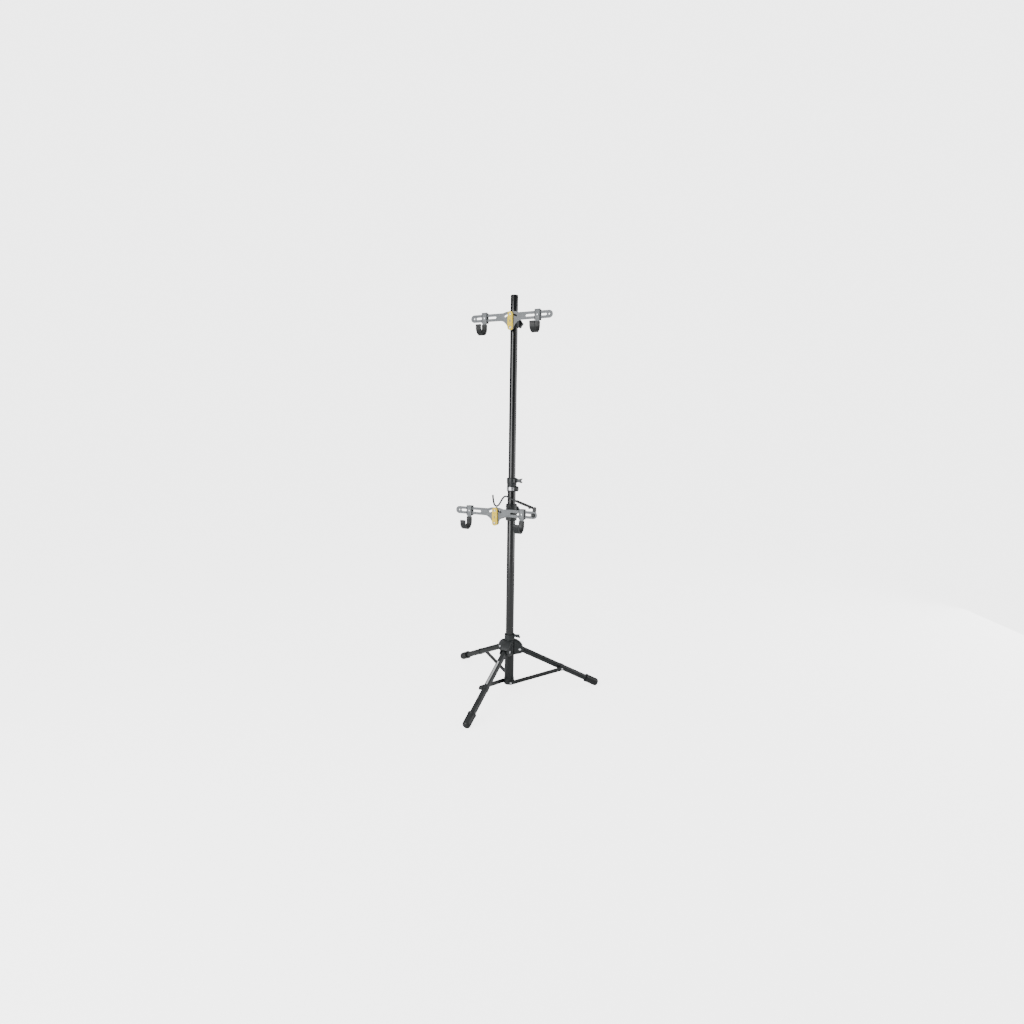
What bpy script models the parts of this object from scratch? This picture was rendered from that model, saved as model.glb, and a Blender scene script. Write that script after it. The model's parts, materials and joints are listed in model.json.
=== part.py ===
"""Two-tier bicycle display and tune-up stand.

A telescoping mast stands on a folding three-leg base. Each of its two cradles is
a slotted bar with two rubber-covered hooks, and the lower one carries a swinging
stabiliser that steadies the front of a bicycle. Metres, +Z up. The origin is on
the floor, in the middle of the footprint. The bars run along X and the hooks open
towards -Y.
"""
import math

import bmesh
import bpy
from mathutils import Vector

# ---------------------------------------------------------------- dimensions
GAP = 0.0003                    # air between pieces that touch

# mast
LOWER_R, LOWER_WALL = 0.0200, 0.0020
UPPER_R, UPPER_WALL = 0.0175, 0.0020
LOWER_BOTTOM, LOWER_TOP = 0.0280, 1.0000
UPPER_BOTTOM, UPPER_TOP = 0.8800, 1.9000
CAP_RISE, CAP_DEPTH = 0.0035, 0.0150
COLLAR_BOTTOM, COLLAR_TOP = 0.9970, 1.0620
BAND_BOTTOM, BAND_TOP = 1.0032, 1.0193
COLLAR_R, COLLAR_HEAD_R, COLLAR_HEAD_LOW = 0.0232, 0.0243, 1.0380
COLLAR_LUG_R, COLLAR_LUG_IN, COLLAR_LUG_OUT, COLLAR_LUG_Z = 0.0130, 0.0218, 0.0323, 1.0107
BAND_SINK, BAND_RISE = 0.0007, 0.0008
COLLAR_KNOB_Z = 1.0505
WING_THICK, WING_ROUND = 0.0100, 0.0018

# tripod base
LEG_AZIMUTHS = {"front": 270.0, "right": 30.0, "left": 150.0}
SLEEVE_R = 0.0235
FOOT_COLLAR_R = 0.0255
FOOT_COLLAR_BOTTOM, FOOT_COLLAR_TOP = 0.0245, 0.0560
SLEEVE_SEAT = 0.0400            # the base sleeve stands on this ledge
HUB_BOTTOM, HUB_SHOULDER, HUB_TOP = 0.1830, 0.2560, 0.2840
HUB_R, HUB_NECK_R, HUB_KNOB_Z = 0.0285, 0.0253, 0.2790
HUB_CHEEK, HUB_CHEEK_R = 0.0240, 0.0210     # half a lobe's width, its round end
LOBE_ROOT = 0.0215              # a lobe starts here, inside the hub's wall
LEG_SLOT = 0.0152               # half the width of the slot in a lobe
LEG_R, LEG_WALL = 0.0145, 0.0018
LEG_PIN_RADIUS, LEG_PIN_Z = 0.0497, 0.2087
LEG_BEHIND_PIN = 0.0090
LEG_CLEARANCE = 0.0182          # room for the leg's end to turn round its pin
PIN_R, PIN_HEAD_R, PIN_RISE = 0.0040, 0.0062, 0.0030
LEG_INSET = 0.0050              # the tube stops this far short of the foot's centre
BRACKET_WALL, BRACKET_HALF, BRACKET_LUG_R = 0.0016, 0.0090, 0.0080
FOOT_RADIUS = 0.4365            # mast axis to the middle of a foot's round end
FOOT_R, FOOT_CORNER = 0.0192, 0.0130
FOOT_END, FOOT_LENGTH = 0.0210, 0.0700
FOOT_FLAT = 0.0012              # depth of the flat the foot stands on
BRACE_OFFSET, BRACE_THICK, BRACE_WIDTH = 0.0246, 0.0060, 0.0185
BRACE_FOOT_RADIUS, BRACE_FOOT_Z = 0.0060, 0.0360
BRACE_LEG_RADIUS = 0.2640       # mast axis to the brace's pivot on the leg

# cradles: height of the bar, how far it stands in front of the mast axis, and the
# clamp's bottom, top and two ears, measured from the bar's height
CRADLES = {
    "upper": {"z": 1.8008, "reach": 0.0374, "mast_r": UPPER_R,
              "low": -0.0420, "high": 0.0140, "ears": (0.0020, -0.0240)},
    "lower": {"z": 0.9172, "reach": 0.1777, "mast_r": LOWER_R,
              "low": -0.0600, "high": 0.0185, "ears": (0.0066, -0.0525)},
}
BUSH_WALL, CLAMP_WALL = 0.0015, 0.0050
BUSH_LIP = 0.0015               # how far the bush shows past each end of the clamp
EAR_X, EAR_FRONT, EAR_BACK, EAR_R = -0.0225, 0.0060, -0.0100, 0.0060
KNOB_Z, KNOB_R, KNOB_Y, KNOB_DEPTH = -0.0175, 0.0178, 0.0463, 0.0200
BAR_HALF, BAR_HEIGHT, BAR_THICK = 0.2035, 0.0340, 0.0045
SLOT_INNER, SLOT_OUTER, SLOT_WIDTH = 0.0730, 0.1755, 0.0095
TOP_SCREW_Z, PIVOT_Z = 0.0096, -0.0480
ARC_SLOT_HALF_ANGLE, ARC_SLOT_WIDTH = 29.0, 0.0080
PLATE_HALF_WIDTH, PLATE_LOW, PLATE_HIGH = 0.0125, -0.0600, 0.0230
PLATE_FRONT = 0.0095            # front face of the plate, ahead of the bar's plane
SCREW_R, SCREW_HEAD_R = 0.0030, 0.0052

# hooks
HOOK_X = 0.1320
STRAP_HALF, STRAP_THICK, STRAP_TOP = 0.0105, 0.0040, 0.0230
CLIP_HALF, CLIP_BACK, CLIP_LOW = 0.0118, 0.0160, -0.0230
CRADLE_HALF, CRADLE_THICK, CRADLE_TOP = 0.0123, 0.0084, -0.0290
CRADLE_BOTTOM, CRADLE_REACH, LIP_TOP = -0.0820, 0.0700, -0.0360
STRAP_TONGUE = 0.0120           # how far the strap runs down inside the rubber

# stabiliser
STAB_PIVOT_X = 0.1865
STAB_PLANE = 0.0063             # behind the bar's plane
STAB_BRACKET_TOP = (0.1890, 0.0295)
ROD_R, ROD_SLEEVE_R = 0.0042, 0.0068
ROD_START = (0.1800, 0.0320)
ROD_ROUTE = [(0.1015, 0.0572), (0.0790, 0.0640), (0.0570, 0.0742), (0.0440, 0.0752),
             (0.0330, 0.0655), (0.0220, 0.0475), (0.0120, 0.0335), (0.0010, 0.0285),
             (-0.0085, 0.0360), (-0.0140, 0.0550), (-0.0170, 0.0790)]

# ---------------------------------------------------------------- derived values
leg_slope = math.atan2(LEG_PIN_Z - FOOT_R, FOOT_RADIUS - LEG_PIN_RADIUS)


def foot_reach(along, across):
    """How far a foot reaches past its centre, for a direction's share along the leg
    and across it."""
    return (FOOT_END - FOOT_CORNER) * along + (FOOT_R - FOOT_CORNER) * across + FOOT_CORNER


foot_z = foot_reach(math.sin(leg_slope), math.cos(leg_slope)) - FOOT_FLAT
leg_slope = math.atan2(LEG_PIN_Z - foot_z, FOOT_RADIUS - LEG_PIN_RADIUS)
leg_length = math.hypot(LEG_PIN_Z - foot_z, FOOT_RADIUS - LEG_PIN_RADIUS)
brace_leg_z = LEG_PIN_Z - (BRACE_LEG_RADIUS - LEG_PIN_RADIUS) * math.tan(leg_slope)
brace_angle = math.atan2(brace_leg_z - BRACE_FOOT_Z, BRACE_LEG_RADIUS - BRACE_FOOT_RADIUS)
brace_length = math.hypot(brace_leg_z - BRACE_FOOT_Z, BRACE_LEG_RADIUS - BRACE_FOOT_RADIUS)

front_reach = FOOT_RADIUS + foot_reach(math.cos(leg_slope), math.sin(leg_slope))
rear_lean = math.sin(math.radians(30)) * math.cos(leg_slope)
rear_reach = (FOOT_RADIUS * math.sin(math.radians(30))
              + foot_reach(rear_lean, math.sqrt(1 - rear_lean ** 2)))
MAST_Y = (front_reach - rear_reach) / 2     # centres the footprint on the origin


# ---------------------------------------------------------------- helpers
def clear_scene():
    for item in list(bpy.data.objects):
        bpy.data.objects.remove(item, do_unlink=True)


def collection(name):
    made = bpy.data.collections.new(name)
    bpy.context.scene.collection.children.link(made)
    return made


def material(name, color, roughness, metallic=0.0):
    made = bpy.data.materials.new(name)
    made.use_nodes = True
    shader = made.node_tree.nodes["Principled BSDF"]
    shader.inputs["Base Color"].default_value = (*color, 1.0)
    shader.inputs["Roughness"].default_value = roughness
    shader.inputs["Metallic"].default_value = metallic
    return made


def empty(name, parent=None, location=(0, 0, 0), turn=0.0):
    made = bpy.data.objects.new(name, None)
    PARTS.objects.link(made)
    made.parent = parent
    made.location = location
    made.rotation_euler = (0, 0, turn)
    return made


def place(name, mesh, look, parent, location=(0, 0, 0), rotation=(0, 0, 0)):
    made = bpy.data.objects.new(name, mesh)
    PARTS.objects.link(made)
    made.parent = parent
    made.location = location
    made.rotation_euler = rotation
    if look is None:
        CUTTERS.objects.link(made)
        PARTS.objects.unlink(made)
        made.hide_render = True
        made.display_type = "WIRE"
    else:
        mesh.materials.clear()
        mesh.materials.append(look)
    return made


def arc(cx, cy, radius, start, end, steps):
    """Points on an arc, from start to end degrees, both ends included."""
    turns = [math.radians(start + (end - start) * i / steps) for i in range(steps + 1)]
    return [(cx + radius * math.cos(a), cy + radius * math.sin(a)) for a in turns]


def bezier(p0, p1, p2, p3, steps):
    points = []
    for i in range(steps + 1):
        t = i / steps
        w = ((1 - t) ** 3, 3 * t * (1 - t) ** 2, 3 * t * t * (1 - t), t ** 3)
        points.append(tuple(sum(w[k] * p[j] for k, p in enumerate((p0, p1, p2, p3)))
                            for j in (0, 1)))
    return points


def obround(x0, y0, x1, y1, radius, steps=8):
    """A slot's outline round the segment from (x0, y0) to (x1, y1)."""
    lean = math.degrees(math.atan2(y1 - y0, x1 - x0))
    return (arc(x1, y1, radius, lean - 90, lean + 90, steps)
            + arc(x0, y0, radius, lean + 90, lean + 270, steps))


def smooth(points, steps):
    """A Catmull-Rom curve through the points."""
    ends = [points[0]] + list(points) + [points[-1]]
    route = []
    for i in range(len(points) - 1):
        a, b, c, d = (Vector(p) for p in ends[i:i + 4])
        for k in range(steps):
            t = k / steps
            route.append(0.5 * (2 * b + (c - a) * t + (2 * a - 5 * b + 4 * c - d) * t * t
                                + (3 * b - a - 3 * c + d) * t ** 3))
    return route + [Vector(points[-1])]


def flat_mesh(name, rings, thickness, low=None):
    """A closed plate: outlines in XY, extruded along Z about 0, or up from low."""
    curve = bpy.data.curves.new(name, "CURVE")
    curve.dimensions = "2D"
    curve.fill_mode = "BOTH"
    curve.extrude = thickness / 2
    for ring in rings:
        spline = curve.splines.new("POLY")
        spline.points.add(len(ring) - 1)
        for point, (x, y) in zip(spline.points, ring):
            point.co = (x, y, 0, 1)
        spline.use_cyclic_u = True
    holder = bpy.data.objects.new(name, curve)
    bpy.context.scene.collection.objects.link(holder)
    graph = bpy.context.evaluated_depsgraph_get()
    mesh = bpy.data.meshes.new_from_object(holder.evaluated_get(graph))
    bpy.data.objects.remove(holder)
    bpy.data.curves.remove(curve)
    shape = bmesh.new()
    shape.from_mesh(mesh)
    bmesh.ops.remove_doubles(shape, verts=shape.verts, dist=1e-6)
    if low is not None:
        bmesh.ops.translate(shape, verts=shape.verts, vec=(0, 0, low + thickness / 2))
    bmesh.ops.recalc_face_normals(shape, faces=shape.faces)
    shape.to_mesh(mesh)
    shape.free()
    mesh.name = name
    return mesh


def turned(name, profile, look, parent, steps=24, closed=False, **where):
    """A profile in XZ at +X, running down its outer side, turned about Z."""
    mesh = bpy.data.meshes.new(name)
    count = len(profile)
    edges = [(i, i + 1) for i in range(count - 1)]
    if closed:
        edges.append((count - 1, 0))
    mesh.from_pydata([(r, 0, z) for r, z in profile], edges, [])
    made = place(name, mesh, look, parent, **where)
    screw = made.modifiers.new("turn", "SCREW")
    screw.axis = "Z"
    screw.angle = 2 * math.pi
    screw.steps = steps
    screw.render_steps = steps
    screw.use_merge_vertices = True
    screw.merge_threshold = 0.00001
    screw.use_smooth_shade = True
    return made


def ring(name, outer, inner, bottom, top, look, parent, steps=24, **where):
    profile = [(outer, top), (outer, bottom), (inner, bottom), (inner, top)]
    return turned(name, profile, look, parent, steps, closed=True, **where)


def rod(name, radius, bottom, top, look, parent, steps=16, **where):
    profile = [(0, top), (radius, top), (radius, bottom), (0, bottom)]
    return turned(name, profile, look, parent, steps, **where)


def boolean(target, other, operation):
    step = target.modifiers.new(operation.lower(), "BOOLEAN")
    step.operation = operation
    step.object = other
    step.solver = "EXACT"


def box_outline(x0, y0, x1, y1):
    return [(x0, y0), (x1, y0), (x1, y1), (x0, y1)]


# ---------------------------------------------------------------- mast
def make_mast(axis):
    ring("lower_mast", LOWER_R, LOWER_R - LOWER_WALL, LOWER_BOTTOM, LOWER_TOP,
         GLOSS_BLACK, axis, 28)
    ring("upper_mast", UPPER_R, UPPER_R - UPPER_WALL, UPPER_BOTTOM, UPPER_TOP,
         GLOSS_BLACK, axis, 28)
    plug = UPPER_R - UPPER_WALL - GAP
    seat = UPPER_TOP + GAP
    turned("mast_cap", [(0, UPPER_TOP + CAP_RISE), (0.6 * UPPER_R, UPPER_TOP + 0.9 * CAP_RISE),
                        (0.93 * UPPER_R, UPPER_TOP + 0.5 * CAP_RISE), (UPPER_R, seat),
                        (plug, seat), (plug, UPPER_TOP - CAP_DEPTH),
                        (0, UPPER_TOP - CAP_DEPTH)], PLASTIC, axis, 24)


def make_collar(axis):
    """The clamp at the top of the lower tube, with its silver band and wing knob."""
    guide = UPPER_R + GAP
    grip = LOWER_R + GAP
    seat = LOWER_TOP + GAP
    groove = COLLAR_R - BAND_SINK
    collar = turned("mast_collar", [
        (COLLAR_HEAD_R, COLLAR_TOP), (COLLAR_HEAD_R, COLLAR_HEAD_LOW),
        (COLLAR_R, COLLAR_HEAD_LOW - 0.0010),
        (COLLAR_R, BAND_TOP + GAP), (groove, BAND_TOP + GAP), (groove, BAND_BOTTOM - GAP),
        (COLLAR_R, BAND_BOTTOM - GAP), (COLLAR_R, COLLAR_BOTTOM), (grip, COLLAR_BOTTOM),
        (grip, seat), (guide, seat), (guide, COLLAR_TOP)], PLASTIC, axis, 28, closed=True)
    lug = flat_mesh("collar_lug", [arc(0, 0, COLLAR_LUG_R, 0, 300, 5)],
                    COLLAR_LUG_OUT - COLLAR_LUG_IN, low=COLLAR_LUG_IN)
    lug = place("collar_lug", lug, None, axis, (0, 0, COLLAR_LUG_Z), (0, math.pi / 2, 0))
    boolean(collar, lug, "UNION")
    band = ring("collar_band", COLLAR_R + BAND_RISE, groove + GAP, BAND_BOTTOM, BAND_TOP,
                STEEL, axis, 28)
    band_gap = flat_mesh("band_gap", [box_outline(0.0180, -0.0145, 0.0300, 0.0145)], 0.0400)
    band_gap = place("band_gap", band_gap, None, axis, (0, 0, BAND_BOTTOM))
    boolean(band, band_gap, "DIFFERENCE")
    wing_knob("collar_knob", axis, COLLAR_HEAD_R + GAP, COLLAR_KNOB_Z, 0.0)


def wing_knob(name, axis, start, height, lean):
    """A butterfly screw on the +X side; lean turns its wings about its own axis."""
    outline = [(0, -0.0070), (0.0130, -0.0085), (0.0300, -0.0118), (0.0300, -0.0070),
               (0.0225, 0), (0.0300, 0.0070), (0.0300, 0.0118), (0.0130, 0.0085),
               (0, 0.0070)]
    mesh = flat_mesh(name, [outline], WING_THICK)
    knob = place(name, mesh, PLASTIC, axis, (start, 0, height),
                 (math.pi / 2 + lean, 0, 0))
    bevel = knob.modifiers.new("round", "BEVEL")
    bevel.width = WING_ROUND
    bevel.segments = 1


# ---------------------------------------------------------------- tripod base
def make_foot_collar(axis):
    """The moulding at the mast's foot that carries the braces, and the sleeve on it."""
    grip, skirt = LOWER_R + GAP, SLEEVE_R + GAP
    floor = LOWER_BOTTOM - GAP
    collar = turned("foot_collar", [
        (0, floor), (grip, floor), (grip, SLEEVE_SEAT), (skirt, SLEEVE_SEAT),
        (skirt, FOOT_COLLAR_TOP), (FOOT_COLLAR_R, FOOT_COLLAR_TOP),
        (FOOT_COLLAR_R, FOOT_COLLAR_BOTTOM + 0.0020),
        (FOOT_COLLAR_R - 0.0020, FOOT_COLLAR_BOTTOM), (0, FOOT_COLLAR_BOTTOM)],
        PLASTIC, axis, 28)
    ring("base_sleeve", SLEEVE_R, LOWER_R + GAP, SLEEVE_SEAT + GAP, HUB_BOTTOM - GAP,
         SATIN_BLACK, axis, 28)
    return collar


def hub_lobe_outline():
    """Half of a lobe seen from its side: radius from the mast axis, height."""
    dome = bezier((LOBE_ROOT, HUB_SHOULDER - 0.0010), (0.0380, 0.2525), (0.0665, 0.2370),
                  (LEG_PIN_RADIUS + HUB_CHEEK_R, LEG_PIN_Z), 7)
    cheek = arc(LEG_PIN_RADIUS, LEG_PIN_Z, HUB_CHEEK_R, 0, -90, 5)
    return dome + cheek[1:] + [(LOBE_ROOT, HUB_BOTTOM)]


def round_dome(mesh):
    """Rounds a lobe's two long edges along the dome, and leaves its cheeks flat."""
    shape = bmesh.new()
    shape.from_mesh(mesh)
    top = [e for e in shape.edges
           if e.calc_face_angle(0) > math.radians(60)
           and all(v.co.y > LEG_PIN_Z and v.co.x > LOBE_ROOT + GAP
                   and abs(v.co.z) > 0.9 * HUB_CHEEK for v in e.verts)]
    bmesh.ops.bevel(shape, geom=top, offset=0.0080, segments=2, profile=0.5,
                    affect="EDGES")
    shape.to_mesh(mesh)
    shape.free()


def leg_slot_outline():
    """The room a leg needs in its lobe, from its rest slope down to vertical."""
    top = 90 - math.degrees(leg_slope)
    corner = arc(LEG_PIN_RADIUS, LEG_PIN_Z, LEG_CLEARANCE, 180, top, 5)
    beyond = 0.0600                 # well past the lobe's round end
    far = (corner[-1][0] + beyond * math.cos(leg_slope),
           corner[-1][1] - beyond * math.sin(leg_slope))
    below = HUB_BOTTOM - 0.0100
    return [(LEG_PIN_RADIUS - LEG_CLEARANCE, below)] + corner + [far, (far[0], below)]


def make_hub(axis, legs):
    hub = ring("leg_hub", HUB_R, LOWER_R + GAP, HUB_BOTTOM, HUB_SHOULDER, PLASTIC, axis, 28)
    neck = ring("hub_neck", HUB_NECK_R, LOWER_R + GAP, HUB_SHOULDER - 0.0100, HUB_TOP,
                None, axis, 28)
    boolean(hub, neck, "UNION")
    upright = (math.pi / 2, 0, 0)
    lobe = flat_mesh("hub_lobe", [hub_lobe_outline()], 2 * HUB_CHEEK)
    round_dome(lobe)
    slot = flat_mesh("hub_slot", [leg_slot_outline()], 2 * LEG_SLOT)
    for side, leg in legs.items():
        boolean(hub, place("hub_lobe_" + side, lobe, None, leg, rotation=upright), "UNION")
    for side, leg in legs.items():
        boolean(hub, place("hub_slot_" + side, slot, None, leg, rotation=upright),
                "DIFFERENCE")
    for side, leg in legs.items():
        hole = rod("hub_hole_" + side, PIN_R + GAP, -0.0400, 0.0400, None, leg, 12,
                   location=(LEG_PIN_RADIUS, 0, LEG_PIN_Z), rotation=upright)
        boolean(hub, hole, "DIFFERENCE")
    wing_knob("hub_knob", axis, HUB_NECK_R + GAP, HUB_KNOB_Z, math.radians(40))


def pin_profile():
    """A plain pin with a domed head on each end, centred on 0."""
    reach = HUB_CHEEK + GAP
    half_pin = [(0, reach + PIN_RISE), (0.6 * PIN_HEAD_R, reach + 0.85 * PIN_RISE),
                (PIN_HEAD_R, reach + 0.3 * PIN_RISE), (PIN_HEAD_R, reach), (PIN_R, reach)]
    return half_pin + [(r, -z) for r, z in reversed(half_pin)]


def foot_profile():
    """A rubber cap over the leg's end; z runs out along the leg from its round end."""
    tip = arc(FOOT_R - FOOT_CORNER, FOOT_END - FOOT_CORNER, FOOT_CORNER, 90, 0, 4)
    bore, rim = LEG_R + GAP, FOOT_R + 0.0012
    back = FOOT_END - FOOT_LENGTH
    return ([(0, FOOT_END)] + tip
            + [(FOOT_R, back + 0.0080), (rim, back + 0.0065), (rim, back), (bore, back),
               (bore, GAP - LEG_INSET), (0, GAP - LEG_INSET)])


def make_leg(side, leg):
    """A leg hinged on the hub, its foot, its bracket and its brace."""
    pivot = empty("leg_pivot_" + side, leg, (LEG_PIN_RADIUS, 0, LEG_PIN_Z))
    pivot.rotation_euler = (0, math.pi / 2 + leg_slope, 0)
    upright = (math.pi / 2, 0, 0)
    tube = ring("leg_" + side, LEG_R, LEG_R - LEG_WALL, -LEG_BEHIND_PIN,
                leg_length - LEG_INSET, SATIN_BLACK, pivot, 20)
    hole = rod("leg_hole_" + side, PIN_R + GAP, -0.0300, 0.0300, None, pivot, 10,
               rotation=upright)
    boolean(tube, hole, "DIFFERENCE")
    turned("leg_pin_" + side, pin_profile(), STEEL, leg, 10,
           location=(LEG_PIN_RADIUS, 0, LEG_PIN_Z), rotation=upright)

    foot = turned("foot_" + side, foot_profile(), RUBBER, pivot, 18,
                  location=(0, 0, leg_length))
    floor = flat_mesh("floor_" + side, [box_outline(0.3000, -0.1000, 0.6000, 0.1000)],
                      0.0400, low=-0.0400)
    boolean(foot, place("floor_" + side, floor, None, leg), "DIFFERENCE")

    along = (BRACE_LEG_RADIUS - LEG_PIN_RADIUS) / math.cos(leg_slope)
    bracket = ring("leg_bracket_" + side, LEG_R + BRACKET_WALL, LEG_R + GAP, -BRACKET_HALF,
                   BRACKET_HALF, PLASTIC, pivot, 20, location=(0, 0, along))
    lug = rod("bracket_lug_" + side, BRACKET_LUG_R, LEG_R + BRACKET_WALL / 2,
              BRACE_OFFSET - GAP, None, pivot, 12, location=(0, 0, along), rotation=upright)
    boolean(bracket, lug, "UNION")

    outline = obround(0, 0, brace_length, 0, BRACE_WIDTH / 2)
    hole = arc(0, 0, SCREW_R + GAP, 0, 330, 11)
    mesh = flat_mesh("brace_" + side, [outline, hole], BRACE_THICK, low=BRACE_OFFSET)
    place("brace_" + side, mesh, SATIN_BLACK, leg, (BRACE_FOOT_RADIUS, 0, BRACE_FOOT_Z),
          (math.pi / 2, -brace_angle, 0))


def make_brace_screw(side, leg, collar):
    """The screw a brace turns on, with a flat and a blind hole for it in the collar."""
    seat = BRACE_OFFSET - GAP
    flat = flat_mesh("flat_" + side, [box_outline(-0.0200, 0.0080, 0.0300, 0.0700)],
                     0.0200, low=seat)
    boolean(collar, place("flat_" + side, flat, None, leg, rotation=(math.pi / 2, 0, 0)),
            "DIFFERENCE")
    where = {"location": (BRACE_FOOT_RADIUS, 0, BRACE_FOOT_Z),
             "rotation": (math.pi / 2, 0, 0)}
    hole = rod("screw_hole_" + side, SCREW_R + GAP, 0.0215, 0.0400, None, leg, 10, **where)
    boolean(collar, hole, "DIFFERENCE")
    head = BRACE_OFFSET + BRACE_THICK + GAP
    turned("brace_screw_" + side, [(0, head + 0.0026), (0.0035, head + 0.0022),
                                   (SCREW_HEAD_R, head + 0.0008), (SCREW_HEAD_R, head),
                                   (SCREW_R, head), (SCREW_R, 0.0219), (0, 0.0219)],
           STEEL, leg, 10, **where)


# ---------------------------------------------------------------- cradles
def plate_outline(margin=0.0):
    radius = PLATE_HALF_WIDTH + margin
    return obround(0, PLATE_LOW + PLATE_HALF_WIDTH, 0, PLATE_HIGH - PLATE_HALF_WIDTH,
                   radius, 8)


def bar_rings():
    """The slotted bar: outline, two hook slots, two end holes and the arc slot."""
    end, tall = BAR_HALF - BAR_HEIGHT / 2, BAR_HEIGHT / 2
    right = arc(end, 0, tall, -90, 90, 10)
    rise = bezier((0.0420, tall), (0.0320, tall), (0.0280, 0.0225), (0.0140, 0.0225), 5)
    tongue = arc(0, PIVOT_Z, 0.0120, 180, 360, 8)
    fall = bezier((0.0125, -0.0520), (0.0190, -0.0320), (0.0360, -tall), (0.0520, -tall), 7)
    half_top = right + rise
    mirrored = [(-x, y) for x, y in reversed(half_top)]
    left_fall = [(-x, y) for x, y in reversed(fall)]
    outline = half_top + mirrored + left_fall + tongue[2:-2] + fall
    narrow = SLOT_WIDTH / 2
    slots = [obround(s * (SLOT_INNER + narrow), 0, s * (SLOT_OUTER - narrow), 0, narrow, 6)
             for s in (-1, 1)]
    holes = [arc(s * end, 0, 0.0036, 0, 330, 11) for s in (-1, 1)]
    pivot = arc(0, PIVOT_Z, SCREW_R + GAP, 0, 330, 11)
    middle, swing = TOP_SCREW_Z - PIVOT_Z, ARC_SLOT_HALF_ANGLE
    wide = ARC_SLOT_WIDTH / 2
    ends = [arc(0, PIVOT_Z, middle, 90 + a, 90 + a, 1)[0] for a in (-swing, swing)]
    arc_slot = (arc(0, PIVOT_Z, middle + wide, 90 - swing, 90 + swing, 10)
                + arc(*ends[1], wide, 90 + swing, 270 + swing, 5)[1:-1]
                + arc(0, PIVOT_Z, middle - wide, 90 + swing, 90 - swing, 10)
                + arc(*ends[0], wide, 270 - swing, 450 - swing, 5)[1:-1])
    return [outline, *slots, *holes, pivot, arc_slot]


def make_clamp(tier, head, size):
    """The bush and clamp on the mast, the clamp's knob, and what carries the bar."""
    inner = size["mast_r"] + GAP
    outer = inner + BUSH_WALL
    bore, wall = outer + GAP, outer + GAP + CLAMP_WALL
    low, high = size["low"], size["high"]
    ring(tier + "_bush", outer, inner, low - BUSH_LIP, high + BUSH_LIP, PLASTIC, head, 24)
    clamp = ring(tier + "_clamp", wall, bore, low, high, PLASTIC, head, 24)
    upright = (math.pi / 2, 0, 0)
    pad_front = wall + 0.0010
    pad_outline = obround(0, low + PLATE_HALF_WIDTH, 0, high - PLATE_HALF_WIDTH,
                          PLATE_HALF_WIDTH - 0.0005)
    pad = flat_mesh(tier + "_pad", [pad_outline], pad_front - bore - 0.0020,
                    low=bore + 0.0020)
    boolean(clamp, place(tier + "_pad", pad, None, head, rotation=upright), "UNION")
    for row, z in enumerate(size["ears"]):
        ear = rod("{}_ear_{}".format(tier, row), EAR_R, EAR_BACK, EAR_FRONT, None, head, 12,
                  location=(EAR_X, 0, z), rotation=upright)
        boolean(clamp, ear, "UNION")
    bore_cut = rod(tier + "_bore_cut", bore, low - 0.0100, high + 0.0100, None, head, 24)
    boolean(clamp, bore_cut, "DIFFERENCE")
    boss = rod(tier + "_boss", 0.0100, -KNOB_Y + GAP, -bore - 0.0015, None, head, 14,
               location=(0, 0, KNOB_Z), rotation=upright)
    boolean(clamp, boss, "UNION")
    stud_end = -wall + 0.0010
    stud_hole = rod(tier + "_stud_hole", 0.0045, -KNOB_Y - 0.0100, stud_end, None, head, 10,
                    location=(0, 0, KNOB_Z), rotation=upright)
    boolean(clamp, stud_hole, "DIFFERENCE")

    grip = [(r * math.cos(a), r * math.sin(a)) for a, r in
            ((math.radians(10 * i), KNOB_R + 0.0021 * math.cos(math.radians(50 * i)))
             for i in range(36))]
    knob = place(tier + "_knob", flat_mesh(tier + "_knob", [grip], KNOB_DEPTH,
                                           low=-KNOB_DEPTH),
                 PLASTIC, head, (0, KNOB_Y, KNOB_Z), upright)
    stud = rod(tier + "_stud", 0.0040, -0.0020, KNOB_Y - wall - 0.0005, None, knob, 10)
    boolean(knob, stud, "UNION")
    return pad_front


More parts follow.
